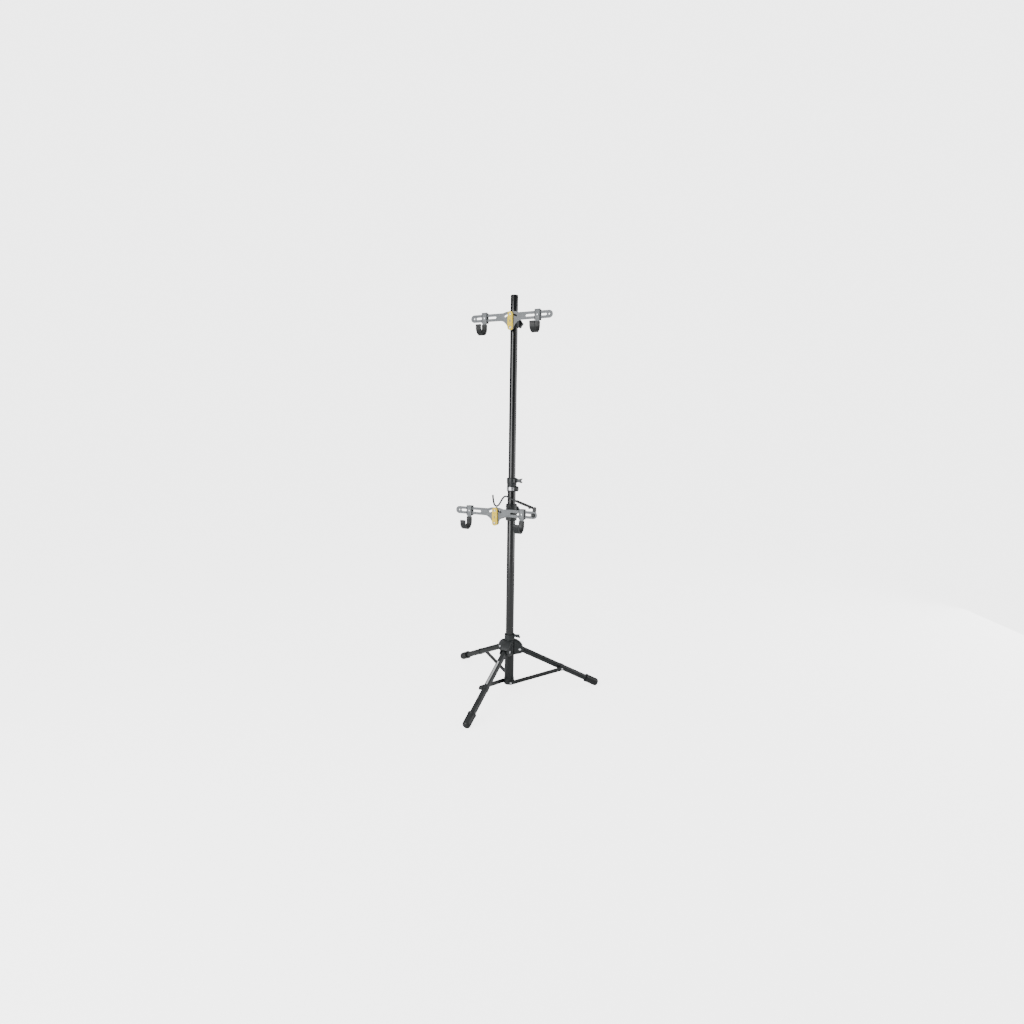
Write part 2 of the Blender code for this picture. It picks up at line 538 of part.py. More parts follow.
def make_carrier(tier, head, size, pad_front):
    """What stands between the clamp and the bar, the cover plate and its two screws."""
    upright = (math.pi / 2, 0, 0)
    back = size["reach"] - BAR_THICK / 2 - GAP
    start = pad_front + GAP
    block_depth = min(0.0120, back - start)
    block = place(tier + "_arm", flat_mesh(tier + "_arm", [plate_outline()], block_depth,
                                           low=back - block_depth),
                  PLASTIC, head, rotation=upright)
    if back - start > block_depth:
        middle = (PLATE_LOW + PLATE_HIGH) / 2
        beam_rings = [box_outline(-0.0105, middle - 0.0165, 0.0105, middle + 0.0165)]
        beam = flat_mesh(tier + "_beam", beam_rings, back - start - 0.0040, low=start)
        boolean(block, place(tier + "_beam", beam, None, head, rotation=upright), "UNION")

    plate_back = size["reach"] + BAR_THICK / 2 + GAP
    front = size["reach"] + PLATE_FRONT
    holes = [arc(0, z, SCREW_R + GAP, 0, 330, 11) for z in (TOP_SCREW_Z, PIVOT_Z)]
    plate = place(tier + "_cover_plate",
                  flat_mesh(tier + "_cover_plate", [plate_outline(), *holes],
                            front - plate_back, low=plate_back),
                  YELLOW, head, rotation=upright)
    bevel = plate.modifiers.new("round", "BEVEL")
    bevel.width = 0.0012
    bevel.segments = 1
    bevel.angle_limit = math.radians(50)

    tip = back - 0.0050
    for row, z in (("top", TOP_SCREW_Z), ("pivot", PIVOT_Z)):
        where = {"location": (0, 0, z), "rotation": upright}
        hole = rod("{}_{}_hole".format(tier, row), SCREW_R + GAP, tip - GAP, back + 0.0100,
                   None, head, 10, **where)
        boolean(block, hole, "DIFFERENCE")
        face = front + GAP
        turned("{}_{}_screw".format(tier, row), [
            (0, face + 0.0018), (0.0030, face + 0.0016), (SCREW_HEAD_R, face + 0.0006),
            (SCREW_HEAD_R, face), (SCREW_R, face), (SCREW_R, tip), (0, tip)],
            STEEL, head, 10, **where)


def strap_middle(reach):
    return reach + BAR_THICK / 2 + GAP + STRAP_THICK / 2


def hook_outline(middle, reach):
    """A J seen from its side: distance in front of the mast axis, height."""
    thick = CRADLE_THICK / 2
    bend = (CRADLE_REACH - thick - (middle - reach)) / 2
    bend_z = CRADLE_BOTTOM + thick + bend
    front = middle + bend
    outer = arc(front, bend_z, bend + thick, 180, 360, 14)
    inner = arc(front, bend_z, bend - thick, 360, 180, 12)
    lip = arc(front + bend, LIP_TOP - thick, thick, 0, 180, 6)
    return ([(middle - thick, CRADLE_TOP)] + outer + lip + inner[1:]
            + [(middle + thick, CRADLE_TOP)])


def make_hook(name, head, x, reach):
    """Strap in front of the bar, clip behind it, rubber-covered J below."""
    sideways = (math.pi / 2, 0, -math.pi / 2)
    middle = strap_middle(reach)
    half = STRAP_THICK / 2
    low = CRADLE_TOP - STRAP_TONGUE
    strap = flat_mesh(name + "_strap", [box_outline(middle - half, low, middle + half, STRAP_TOP)],
                      2 * STRAP_HALF)
    place(name + "_strap", strap, GREY, head, (x, 0, 0), sideways)

    bar_top = BAR_HEIGHT / 2 + GAP
    near, far = reach - CLIP_BACK, reach + BAR_THICK / 2
    throat = reach - BAR_THICK / 2 - GAP
    clip = flat_mesh(name + "_clip", [[
        (near, CLIP_LOW), (far, CLIP_LOW), (far, -bar_top), (throat, -bar_top),
        (throat, bar_top), (far, bar_top), (far, STRAP_TOP), (near, STRAP_TOP)]],
        2 * CLIP_HALF)
    place(name + "_clip", clip, PLASTIC, head, (x, 0, 0), sideways)

    cover = place(name + "_cover", flat_mesh(name + "_cover", [hook_outline(middle, reach)],
                                             2 * CRADLE_HALF),
                  RUBBER, head, (x, 0, 0), sideways)
    socket = flat_mesh(name + "_socket", [
        box_outline(middle - half - GAP, low - GAP, middle + half + GAP, 0)],
        2 * (STRAP_HALF + GAP))
    boolean(cover, place(name + "_socket", socket, None, head, (x, 0, 0), sideways),
            "DIFFERENCE")


def make_cradle(tier, axis, size):
    head = empty(tier + "_head", axis, (0, 0, size["z"]))
    pad_front = make_clamp(tier, head, size)
    make_carrier(tier, head, size, pad_front)
    upright = (math.pi / 2, 0, 0)
    place(tier + "_bar", flat_mesh(tier + "_bar", bar_rings(), BAR_THICK), GREY, head,
          (0, -size["reach"], 0), upright)
    for side, x in (("left", -HOOK_X), ("right", HOOK_X)):
        make_hook("{}_{}_hook".format(tier, side), head, x, size["reach"])
    return head


def make_stabiliser(head, reach):
    """The arm that swings on the lower bar's right end and steadies a bicycle."""
    upright = (math.pi / 2, 0, 0)
    plane = -reach + STAB_PLANE
    pivot = empty("stabiliser_pivot", head, (STAB_PIVOT_X, plane, 0))
    back = BAR_THICK / 2 + GAP - STAB_PLANE
    top = (STAB_BRACKET_TOP[0] - STAB_PIVOT_X, STAB_BRACKET_TOP[1])
    bracket = flat_mesh("stabiliser_bracket", [obround(0, 0, *top, 0.0077)], -2 * back)
    bracket = place("stabiliser_bracket", bracket, PLASTIC, pivot, rotation=upright)
    hole = rod("bracket_hole", SCREW_R + GAP, -0.0100, 0.0100, None, pivot, 10,
               rotation=upright)
    boolean(bracket, hole, "DIFFERENCE")
    face = STAB_PLANE + BAR_THICK / 2 + GAP
    turned("stabiliser_bolt", [
        (0, face + 0.0050), (0.0060, face + 0.0050), (0.0088, face + 0.0030), (0.0088, face),
        (SCREW_R, face), (SCREW_R, back - GAP), (0.0060, back - GAP), (0.0060, back - 0.0040),
        (0, back - 0.0040)], PLASTIC, pivot, 14, rotation=upright)

    start, end = Vector(ROD_START), Vector(ROD_ROUTE[0])
    run = (end - start).length
    lean = math.atan2(end.y - start.y, end.x - start.x)
    along = math.pi / 2 - lean
    curve = bpy.data.curves.new("stabiliser_rod", "CURVE")
    curve.dimensions = "3D"
    curve.bevel_depth = ROD_R
    curve.bevel_resolution = 2
    curve.use_fill_caps = True
    route = [start] + smooth(ROD_ROUTE, 3)
    spline = curve.splines.new("POLY")
    spline.points.add(len(route) - 1)
    for point, spot in zip(spline.points, route):
        point.co = (spot[0] - STAB_PIVOT_X, 0, spot[1], 1)
    curve.materials.append(SATIN_BLACK)
    wire = bpy.data.objects.new("stabiliser_rod", curve)
    PARTS.objects.link(wire)
    wire.parent = pivot
    ring("stabiliser_grip", ROD_SLEEVE_R, ROD_R + GAP, 0, run, RUBBER, pivot, 14,
         location=(start.x - STAB_PIVOT_X, 0, start.y), rotation=(0, along, 0))


# ---------------------------------------------------------------- assembly
clear_scene()
PARTS = collection("bike_stand")
CUTTERS = collection("cutters")
GLOSS_BLACK = material("gloss_black_paint", (0.030, 0.034, 0.036), 0.22)
SATIN_BLACK = material("satin_black_paint", (0.040, 0.045, 0.047), 0.42)
PLASTIC = material("black_plastic", (0.035, 0.040, 0.041), 0.55)
RUBBER = material("black_rubber", (0.045, 0.050, 0.052), 0.75)
GREY = material("grey_paint", (0.27, 0.29, 0.31), 0.38)
YELLOW = material("yellow_paint", (0.88, 0.60, 0.12), 0.35)
STEEL = material("bright_steel", (0.75, 0.76, 0.78), 0.28, 1.0)

mast_axis = empty("mast_axis", location=(0, MAST_Y, 0))
leg_frames = {side: empty("leg_frame_" + side, mast_axis, turn=math.radians(azimuth))
              for side, azimuth in LEG_AZIMUTHS.items()}
make_mast(mast_axis)
make_collar(mast_axis)
foot_collar = make_foot_collar(mast_axis)
make_hub(mast_axis, leg_frames)
for leg_side, leg_frame in leg_frames.items():
    make_leg(leg_side, leg_frame)
    make_brace_screw(leg_side, leg_frame, foot_collar)
heads = {tier: make_cradle(tier, mast_axis, size) for tier, size in CRADLES.items()}
make_stabiliser(heads["lower"], CRADLES["lower"]["reach"])
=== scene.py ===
"""The looks of a two-tier bicycle stand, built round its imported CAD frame. Metres, +Z up."""
import json
import math

import bmesh
import bpy
from mathutils import Matrix, Vector


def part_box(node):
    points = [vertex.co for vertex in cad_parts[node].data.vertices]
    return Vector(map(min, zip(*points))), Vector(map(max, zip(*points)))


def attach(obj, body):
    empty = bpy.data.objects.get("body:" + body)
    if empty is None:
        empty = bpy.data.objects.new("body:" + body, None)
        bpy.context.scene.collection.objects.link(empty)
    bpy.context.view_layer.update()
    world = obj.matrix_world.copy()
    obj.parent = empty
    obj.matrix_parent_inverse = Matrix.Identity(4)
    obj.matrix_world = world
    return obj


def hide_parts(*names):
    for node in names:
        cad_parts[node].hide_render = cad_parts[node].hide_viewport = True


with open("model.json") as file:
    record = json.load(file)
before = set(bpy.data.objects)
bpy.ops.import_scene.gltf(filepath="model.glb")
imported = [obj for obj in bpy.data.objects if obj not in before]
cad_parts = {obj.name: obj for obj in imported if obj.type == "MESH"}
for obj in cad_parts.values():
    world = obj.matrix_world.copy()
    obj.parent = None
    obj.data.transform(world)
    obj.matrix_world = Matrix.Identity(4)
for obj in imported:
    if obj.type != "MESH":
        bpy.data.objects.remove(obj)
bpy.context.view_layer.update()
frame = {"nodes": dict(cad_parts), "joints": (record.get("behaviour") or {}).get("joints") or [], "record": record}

NODES = frame["nodes"]
JOINTS = {joint["name"]: joint for joint in frame["joints"]}
BODY_OF = {node: body for body, members in frame["record"]["behaviour"]["bodies"].items()
           for node in members}
SLOT_OF = {part["node"]: part["material_slot"] for part in frame["record"]["subparts"]}

# ---------------------------------------------------------------- driving dimensions
# Lengths are in metres and named angles in degrees, but for the camera's turn, in radians.
TURN = 2 * math.pi
QUARTER = math.pi / 2
GAP = 0.0003                    # air between pieces that touch
SIDES = ("front", "right", "left")
TIERS = ("upper", "lower")
SCREW_R = 0.0030
HOLE_R = SCREW_R + GAP

# mast
LOWER_R, UPPER_R, TUBE_WALL = 0.0200, 0.0175, 0.0020
COLLAR_R, COLLAR_HEAD_R, COLLAR_HEAD_TALL, COLLAR_STEP = 0.0232, 0.0243, 0.0240, 0.0012
COLLAR_LUG_R, COLLAR_LUG_IN, COLLAR_LUG_OUT, COLLAR_LUG_DROP = 0.0130, 0.0218, 0.0322, 0.0005
BOSS_BACK, BOSS_FRONT, BOSS_Z = 0.0130, 0.0241, 1.0495
BAND_SINK, BAND_INNER, BAND_OUTER = 0.0007, 0.0229, 0.0240
BAND_OPENING = 38               # half of the band's gap
BAND_SCREW_AZIMUTH, BAND_SCREW_RADIUS = -58, 0.0238
WING_HALF_THICK, WING_ROUND, HUB_WING_LEAN = 0.0046, 0.0018, 40

# tripod
LEG_R, LEG_BORE, LEG_INSET, LEG_BEHIND_PIN = 0.0145, 0.0127, 0.0050, 0.0090
LEG_PIN_RADIUS, HUB_CHEEK = 0.0497, 0.0240
PIN_R, PIN_HEAD_R, PIN_RISE = 0.0040, 0.0062, 0.0030
FOOT_RADIUS, FOOT_R, FOOT_CORNER, FOOT_FLAT = 0.4365, 0.0192, 0.0130, 0.0012
FOOT_END, FOOT_LENGTH, FOOT_RIM, FOOT_GROOVE = 0.0210, 0.0700, 0.0012, 0.0008
BRACKET_R, BRACKET_BORE, BRACKET_HALF, BRACKET_LUG_R = 0.0161, 0.0147, 0.0090, 0.0080
BRACE_OFFSET, BRACE_THICK, BRACE_WIDTH, BRACE_LEG_RADIUS = 0.0246, 0.0060, 0.0185, 0.2640
BRACE_CHANNEL_INSET, BRACE_CHANNEL_R, BRACE_CHANNEL_FLOOR = 0.0260, 0.0040, 0.0018
STRIPE_START, STRIPE_END, STRIPE_TAPER = 0.078, 0.222, 0.003    # along the leg, from its pin
STRIPE_HALF_ANGLE, STRIPE_LIFT, STRIPE_THICK = 17, 0.00015, 0.0003

# cradles
BAR_HALF, BAR_HEIGHT, BAR_THICK, BAR_END_HOLE_R = 0.2035, 0.0340, 0.0045, 0.0036
BAR_CREST, TONGUE_R = 0.0225, 0.0120
SLOT_INNER, SLOT_OUTER, SLOT_WIDTH = 0.0730, 0.1755, 0.0095
ARC_SLOT_HALF_ANGLE, ARC_SLOT_WIDTH = 29.0, 0.0080
PIVOT_DROP, TOP_SCREW_UP, SCREW_SINK = 0.0480, 0.0096, 0.0018
PLATE_HALF, PLATE_LOW, PLATE_HIGH, PLATE_FRONT = 0.0125, -0.0600, 0.0230, 0.0095
MARK_LOW, MARK_HIGH, MARK_R, MARK_LIFT = -0.0245, -0.0165, 0.0022, 0.0002
KNOB_R, KNOB_LOBE, KNOB_LOBES = 0.0178, 0.0021, 5
BUSH_WALL, EAR_X = 0.0015, -0.0225
EAR_SCREWS = {"upper": (0.0020, -0.0240), "lower": (0.0066, -0.0525)}
EAR_FACES = {"front": (-0.0060, 0.0), "back": (0.0100, math.pi)}

# hooks
HOOK_X, STRAP_HALF, STRAP_THICK, STRAP_TOP = 0.1320, 0.0105, 0.0040, 0.0230
CLIP_HALF, CLIP_BACK = 0.0118, 0.0160
COVER_HALF, COVER_THICK, COVER_TOP, COVER_BOTTOM = 0.0123, 0.0084, -0.0290, -0.0820
COVER_REACH, LIP_TOP, STRAP_TONGUE = 0.0700, -0.0360, 0.0120
NUT_R, NUT_THICK = 0.0052, 0.0036

# stabiliser
STAB_PLANE = 0.0063             # behind the bar's plane
STAB_BRACKET_TOP, STAB_BRACKET_R = (0.1890, 0.0295), 0.0077
ROD_R, GRIP_R, RIB_PITCH, RIB_HEIGHT = 0.0042, 0.0068, 0.0078, 0.0009
ROD_START = (0.1800, 0.0320)
ROD_ROUTE = [(0.1015, 0.0572), (0.0790, 0.0640), (0.0570, 0.0742), (0.0440, 0.0752),
             (0.0330, 0.0655), (0.0220, 0.0475), (0.0120, 0.0335), (0.0010, 0.0285),
             (-0.0085, 0.0360), (-0.0140, 0.0550), (-0.0170, 0.0790)]
THUMB_KNOB_X, THUMB_KNOB_UP = 0.1660, 0.0314

# surfaces
SMOOTH_ANGLE, TUBE_SMOOTH_ANGLE, BEVEL_ANGLE = 32, 50, 40
MOTTLE_SCALE, SCUFF_SCALE, RELIEF_DEPTH, COAT_ROUGHNESS = 18.0, 160, 0.0004, 0.12

# studio
CAMERA_SPOT, CAMERA_TURN = (1.12655, -2.50941, 1.29060), (0.420893, -0.142189, 0.014521)
CAMERA_SENSOR, CAMERA_LENS = 36, 20.199
FLOOR_R, FLOOR_DROP, FLOOR_GLOW, BACKDROP_GLOW = 90, 0.0005, 3.55, 4.0
WORLD_DIM = (0.10, 0.105, 0.11)
OVERHEAD, OVERHEAD_SPREAD, OVERHEAD_LEAN = 1.7, 110, (12, -8, 0)
KEY, FILL, LIGHTS_AIM_Z = 122, 70, 1.0


def centre(node):
    low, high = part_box(node)
    return (low + high) / 2


MAST_Y = centre("lower_mast").y


# ---------------------------------------------------------------- materials
def node_tree(name):
    made = bpy.data.materials.new(name)
    made.use_nodes = True
    tree = made.node_tree
    shader = tree.nodes["Principled BSDF"]
    place = tree.nodes.new("ShaderNodeTexCoord")
    return made, tree, shader, place.outputs["Object"]


def noise(tree, where, scale, detail=4.0):
    """A noise value about 0.5."""
    grain = tree.nodes.new("ShaderNodeTexNoise")
    grain.inputs["Scale"].default_value = scale
    grain.inputs["Detail"].default_value = detail
    tree.links.new(where, grain.inputs["Vector"])
    return grain.outputs["Fac"]


def ramp(tree, value, low, high, start=0.35, end=0.65):
    """Colours or greys between low and high as value goes from start to end."""
    made = tree.nodes.new("ShaderNodeValToRGB")
    made.color_ramp.elements[0].position = start
    made.color_ramp.elements[1].position = end
    made.color_ramp.elements[0].color = (*low, 1)
    made.color_ramp.elements[1].color = (*high, 1)
    tree.links.new(value, made.inputs["Fac"])
    return made.outputs["Color"]


def grey(level):
    return (level, level, level)


def edge_wear(tree, where, paint, bare, amount):
    """Mixes a rubbed colour in along convex edges and over a few fine scuffs."""
    rubbed = tree.nodes.new("ShaderNodeNewGeometry")
    edges = ramp(tree, rubbed.outputs["Pointiness"], grey(0), grey(1), 0.53, 0.60)
    scuffs = ramp(tree, noise(tree, where, SCUFF_SCALE, 6), grey(0), grey(1), 0.52, 0.70)
    both = tree.nodes.new("ShaderNodeMath")
    both.operation = "MULTIPLY"
    tree.links.new(edges, both.inputs[0])
    tree.links.new(scuffs, both.inputs[1])
    share = tree.nodes.new("ShaderNodeMath")
    share.operation = "MULTIPLY"
    share.inputs[1].default_value = amount
    tree.links.new(both.outputs[0], share.inputs[0])
    mix = tree.nodes.new("ShaderNodeMix")
    mix.data_type = "RGBA"
    mix.inputs["B"].default_value = (*bare, 1)
    tree.links.new(share.outputs[0], mix.inputs["Factor"])
    tree.links.new(paint, mix.inputs["A"])
    return mix.outputs["Result"]


def finish(name, low, high, rough, bump_scale, bump, bare, wear, metal=0.0, coat=0.0):
    """A painted, moulded or plated surface: mottled colour, uneven gloss, fine relief."""
    made, tree, shader, where = node_tree(name)
    mottle = noise(tree, where, MOTTLE_SCALE, 5)
    colour = edge_wear(tree, where, ramp(tree, mottle, low, high), bare, wear)
    tree.links.new(colour, shader.inputs["Base Color"])
    gloss = noise(tree, where, MOTTLE_SCALE * 3.1, 6)
    tree.links.new(ramp(tree, gloss, grey(rough[0]), grey(rough[1])), shader.inputs["Roughness"])
    relief = tree.nodes.new("ShaderNodeBump")
    relief.inputs["Strength"].default_value = bump
    relief.inputs["Distance"].default_value = RELIEF_DEPTH
    tree.links.new(noise(tree, where, bump_scale, 3), relief.inputs["Height"])
    tree.links.new(relief.outputs["Normal"], shader.inputs["Normal"])
    shader.inputs["Metallic"].default_value = metal
    shader.inputs["Coat Weight"].default_value = coat
    shader.inputs["Coat Roughness"].default_value = COAT_ROUGHNESS
    return made


MATERIALS = {
    "gloss_black_tube": finish("gloss_black_tube", (0.0045, 0.0055, 0.0058),
                               (0.0075, 0.0088, 0.0092), (0.17, 0.22), 110, 0.012,
                               (0.16, 0.16, 0.16), 0.4, coat=0.5),
    "satin_black_tube": finish("satin_black_tube", (0.0085, 0.0105, 0.0110),
                               (0.0145, 0.0172, 0.0180), (0.30, 0.40), 700, 0.08,
                               (0.20, 0.20, 0.20), 0.5),
    "black_plastic": finish("black_plastic", (0.0105, 0.0128, 0.0135), (0.0180, 0.0212, 0.0222),
                            (0.36, 0.50), 1500, 0.20, (0.09, 0.095, 0.10), 0.5),
    "black_rubber": finish("black_rubber", (0.0070, 0.0085, 0.0090), (0.0135, 0.0160, 0.0168),
                           (0.36, 0.52), 1800, 0.22, (0.06, 0.06, 0.06), 0.4),
    "grey_paint": finish("grey_paint", (0.150, 0.162, 0.172), (0.190, 0.204, 0.215),
                         (0.34, 0.48), 1200, 0.12, (0.40, 0.41, 0.42), 0.4),
    "yellow_paint": finish("yellow_paint", (0.98, 0.66, 0.0), (1.0, 0.74, 0.002),
                           (0.34, 0.46), 1200, 0.08, (0.80, 0.62, 0.20), 0.3),
    "knob_plastic": finish("knob_plastic", (0.040, 0.045, 0.047), (0.058, 0.064, 0.067),
                           (0.34, 0.46), 1500, 0.15, (0.14, 0.145, 0.15), 0.5),
    "pale_ink": finish("pale_ink", (0.50, 0.51, 0.51), (0.62, 0.63, 0.63), (0.40, 0.55), 900, 0.05,
                       (0.03, 0.03, 0.03), 0.8),
    "bright_steel": finish("bright_steel", (0.56, 0.57, 0.59), (0.74, 0.75, 0.77),
                           (0.20, 0.34), 1200, 0.08, (0.86, 0.86, 0.86), 0.5, metal=1.0),
}


# ---------------------------------------------------------------- mesh helpers
def upright(x, y, z):
    """Local XY stands in world XZ, and local Z points at the viewer, towards -Y."""
    return Matrix.Translation((x, y, z)) @ Matrix.Rotation(QUARTER, 4, "X")


def sideways(x, z):
    """Local X points to -Y from the mast's axis, local Y is up, and local Z is -X."""
    return (Matrix.Translation((x, MAST_Y, z)) @ Matrix.Rotation(-QUARTER, 4, "Z")
            @ Matrix.Rotation(QUARTER, 4, "X"))


def along_x(x, y, z):
    """Local Z points along world X."""
    return Matrix.Translation((x, y, z)) @ Matrix.Rotation(QUARTER, 4, "Y")


def outward(azimuth, radius, z):
    """Local Z points away from the mast's axis, at a radius and height."""
    return (Matrix.Translation((0, MAST_Y, z)) @ Matrix.Rotation(azimuth, 4, "Z")
            @ Matrix.Translation((radius, 0, 0)) @ Matrix.Rotation(QUARTER, 4, "Y"))


def arc(cx, cy, radius, start, end, steps):
    """Points along an arc, from one angle to another in degrees."""
    turns = [math.radians(start + (end - start) * i / steps) for i in range(steps + 1)]
    return [(cx + radius * math.cos(a), cy + radius * math.sin(a)) for a in turns]


def bezier(p0, p1, p2, p3, steps):
    """Points along a cubic curve."""
    points = []
    for i in range(steps + 1):
        t = i / steps
        w = ((1 - t) ** 3, 3 * t * (1 - t) ** 2, 3 * t * t * (1 - t), t ** 3)
        points.append(tuple(sum(w[k] * p[j] for k, p in enumerate((p0, p1, p2, p3)))
                            for j in (0, 1)))
    return points


def obround(x0, y0, x1, y1, radius, steps=20):
    """Half circles about two centres, joined by straight sides."""
    lean = math.degrees(math.atan2(y1 - y0, x1 - x0))
    return (arc(x1, y1, radius, lean - 90, lean + 90, steps)
            + arc(x0, y0, radius, lean + 90, lean + 270, steps))


def hole(x, y, radius):
    """A ring of points, for a round hole in a slab."""
    return arc(x, y, radius, 0, 345, 23)


def fillet(points, radius, closed=False, steps=4):
    """Rounds a path's corners. A radius of 0 in a point's third place keeps it sharp."""
    rounded = []
    count = len(points)
    for i, point in enumerate(points):
        here = Vector(point[:2])
        size = point[2] if len(point) > 2 else radius
        if size == 0 or (not closed and i in (0, count - 1)):
            rounded.append(tuple(here))
            continue
        before, after = Vector(points[i - 1][:2]) - here, Vector(points[(i + 1) % count][:2]) - here
        bend = before.angle(after)
        trim = min(size / math.tan(bend / 2), 0.48 * before.length, 0.48 * after.length)
        a, b = here + before.normalized() * trim, here + after.normalized() * trim
        for k in range(steps + 1):
            t = k / steps
            rounded.append(tuple((1 - t) ** 2 * a + 2 * t * (1 - t) * here + t * t * b))
    return rounded


def add_object(name, data):
    made = bpy.data.objects.new(name, data)
    bpy.context.scene.collection.objects.link(made)
    return made


def evaluated_mesh(holder):
    """A new mesh of an object as its modifiers or its curve settings leave it."""
    return bpy.data.meshes.new_from_object(
        holder.evaluated_get(bpy.context.evaluated_depsgraph_get()))


def finish_mesh(shape, name, angle=SMOOTH_ANGLE):
    """A mesh from a shape, smooth but for edges sharper than angle."""
    bmesh.ops.recalc_face_normals(shape, faces=shape.faces)
    mesh = bpy.data.meshes.new(name)
    shape.to_mesh(mesh)
    shape.free()
    mesh.shade_smooth()
    mesh.set_sharp_from_angle(angle=math.radians(angle))
    return mesh


def turned_row(shape, profile, turn):
    """The points of a profile of radius and height, at one turn about local Z."""
    return [shape.verts.new((r * math.cos(turn), r * math.sin(turn), z)) for r, z in profile]


def bridge(shape, rows, closed):
    """Faces between each row of points and the next, and round each row if closed."""
    for here, beyond in zip(rows, rows[1:]):
        for i in range(len(here) if closed else len(here) - 1):
            j = (i + 1) % len(here)
            shape.faces.new((here[i], here[j], beyond[j], beyond[i]))


def lathe(name, profile, segments, closed=False):
    """A profile of radius and height, turned about local Z."""
    shape = bmesh.new()
    rows = [turned_row(shape, profile, TURN * k / segments) for k in range(segments)]
    bridge(shape, rows + rows[:1], closed)
    bmesh.ops.remove_doubles(shape, verts=shape.verts, dist=1e-7)
    return finish_mesh(shape, name)


def slab(name, rings, low, high):
    """Outlines in local XY, the first one solid and the rest holes, from low to high."""
    curve = bpy.data.curves.new(name, "CURVE")
    curve.dimensions = "2D"
    curve.fill_mode = "BOTH"
    curve.extrude = (high - low) / 2
    for ring in rings:
        spline = curve.splines.new("POLY")
        spline.points.add(len(ring) - 1)
        for point, (x, y) in zip(spline.points, ring):
            point.co = (x, y, 0, 1)
        spline.use_cyclic_u = True
    holder = add_object(name, curve)
    mesh = evaluated_mesh(holder)
    bpy.data.objects.remove(holder)
    bpy.data.curves.remove(curve)
    shape = bmesh.new()
    shape.from_mesh(mesh)
    bmesh.ops.remove_doubles(shape, verts=shape.verts, dist=1e-6)
    bmesh.ops.translate(shape, verts=shape.verts, vec=(0, 0, (low + high) / 2))
    return finish_mesh(shape, name)


def tube(name, path, radius, sides, ribs=None):
    """A round bar along a path in local XZ. ribs = (pitch, height) winds a helical rib."""
    shape = bmesh.new()
    rows, run = [], 0.0
    for i, point in enumerate(path):
        ahead = path[min(i + 1, len(path) - 1)] - path[max(i - 1, 0)]
        ahead.normalize()
        across = Vector((0, 1, 0))
        rise = ahead.cross(across)
        if i:
            run += (point - path[i - 1]).length
        row = []
        for k in range(sides):
            turn = TURN * k / sides
            reach = radius
            if ribs:
                reach += ribs[1] * max(0.0, math.cos(turn - TURN * run / ribs[0]))
            row.append(shape.verts.new(point + reach * (math.cos(turn) * rise
                                                        + math.sin(turn) * across)))
        rows.append(row)
    bridge(shape, rows, True)
    shape.faces.new(rows[0])
    shape.faces.new(rows[-1])
    return finish_mesh(shape, name, TUBE_SMOOTH_ANGLE)


def smooth_path(points, steps):
    """A smooth curve through points in local XZ."""
    ends = [points[0]] + list(points) + [points[-1]]
    route = []
    for i in range(len(points) - 1):
        a, b, c, d = (Vector((p[0], 0, p[1])) for p in ends[i:i + 4])
        for k in range(steps):
            t = k / steps
            route.append(0.5 * (2 * b + (c - a) * t + (2 * a - 5 * b + 4 * c - d) * t * t
                                + (3 * b - a - 3 * c + d) * t ** 3))
    return route + [Vector((points[-1][0], 0, points[-1][1]))]


def soften(shown, width, segments):
    """Bevels an object's sharp edges."""
    bevel = shown.modifiers.new("round", "BEVEL")
    bevel.width = width
    bevel.segments = segments
    bevel.limit_method = "ANGLE"
    bevel.angle_limit = math.radians(BEVEL_ANGLE)
    return bevel


def piece(name, mesh, where, slot, body, stands_for=(), round_edges=0.0, segments=2):
    """Puts a mesh in the scene, with its finish, its body and the CAD nodes it shows."""
    mesh.transform(where)
    made = add_object(name, mesh)
    mesh.materials.clear()
    mesh.materials.append(MATERIALS[slot])
    if round_edges:
        soften(made, round_edges, segments).harden_normals = True
    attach(made, body)
    if stands_for:
        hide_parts(*stands_for)
    return made


def stand_in(node, mesh, where, round_edges=0.0, segments=2):
    """A finer piece in the place of one CAD node, with its finish and on its body."""
    return piece(node + "_fine", mesh, where, SLOT_OF[node], BODY_OF[node], [node],
                 round_edges, segments)


def cut(mesh, cutter):
    """A copy of a mesh, less another in the same local frame."""
    target, tool = add_object("target", mesh), add_object("cutter", cutter)
    step = target.modifiers.new("cut", "BOOLEAN")
    step.operation = "DIFFERENCE"
    step.object = tool
    bpy.context.view_layer.update()
    done = evaluated_mesh(target)
    for holder in (target, tool):
        bpy.data.objects.remove(holder)
    done.set_sharp_from_angle(angle=math.radians(SMOOTH_ANGLE))
    return done


def screw_head(radius, rise, recess):
    """A pan head's profile, seated on 0, with a recess in it, for a lathe."""
    return fillet([(0, rise - 1.1 * recess), (0.52 * radius, rise - 1.1 * recess, 0),
                   (0.56 * radius, rise, 0.0002), (0.90 * radius, 0.80 * rise, 0.0006),
                   (radius, 0.30 * rise), (radius, 0)], 0.0003)


# ---------------------------------------------------------------- mast
def tube_profile(outer, inner, low, high, edge=0.0006):
    """A tube's wall from its outer radius to its bore, for a closed lathe."""
    return fillet([(outer, high), (outer, low), (inner, low), (inner, high)], edge, True)


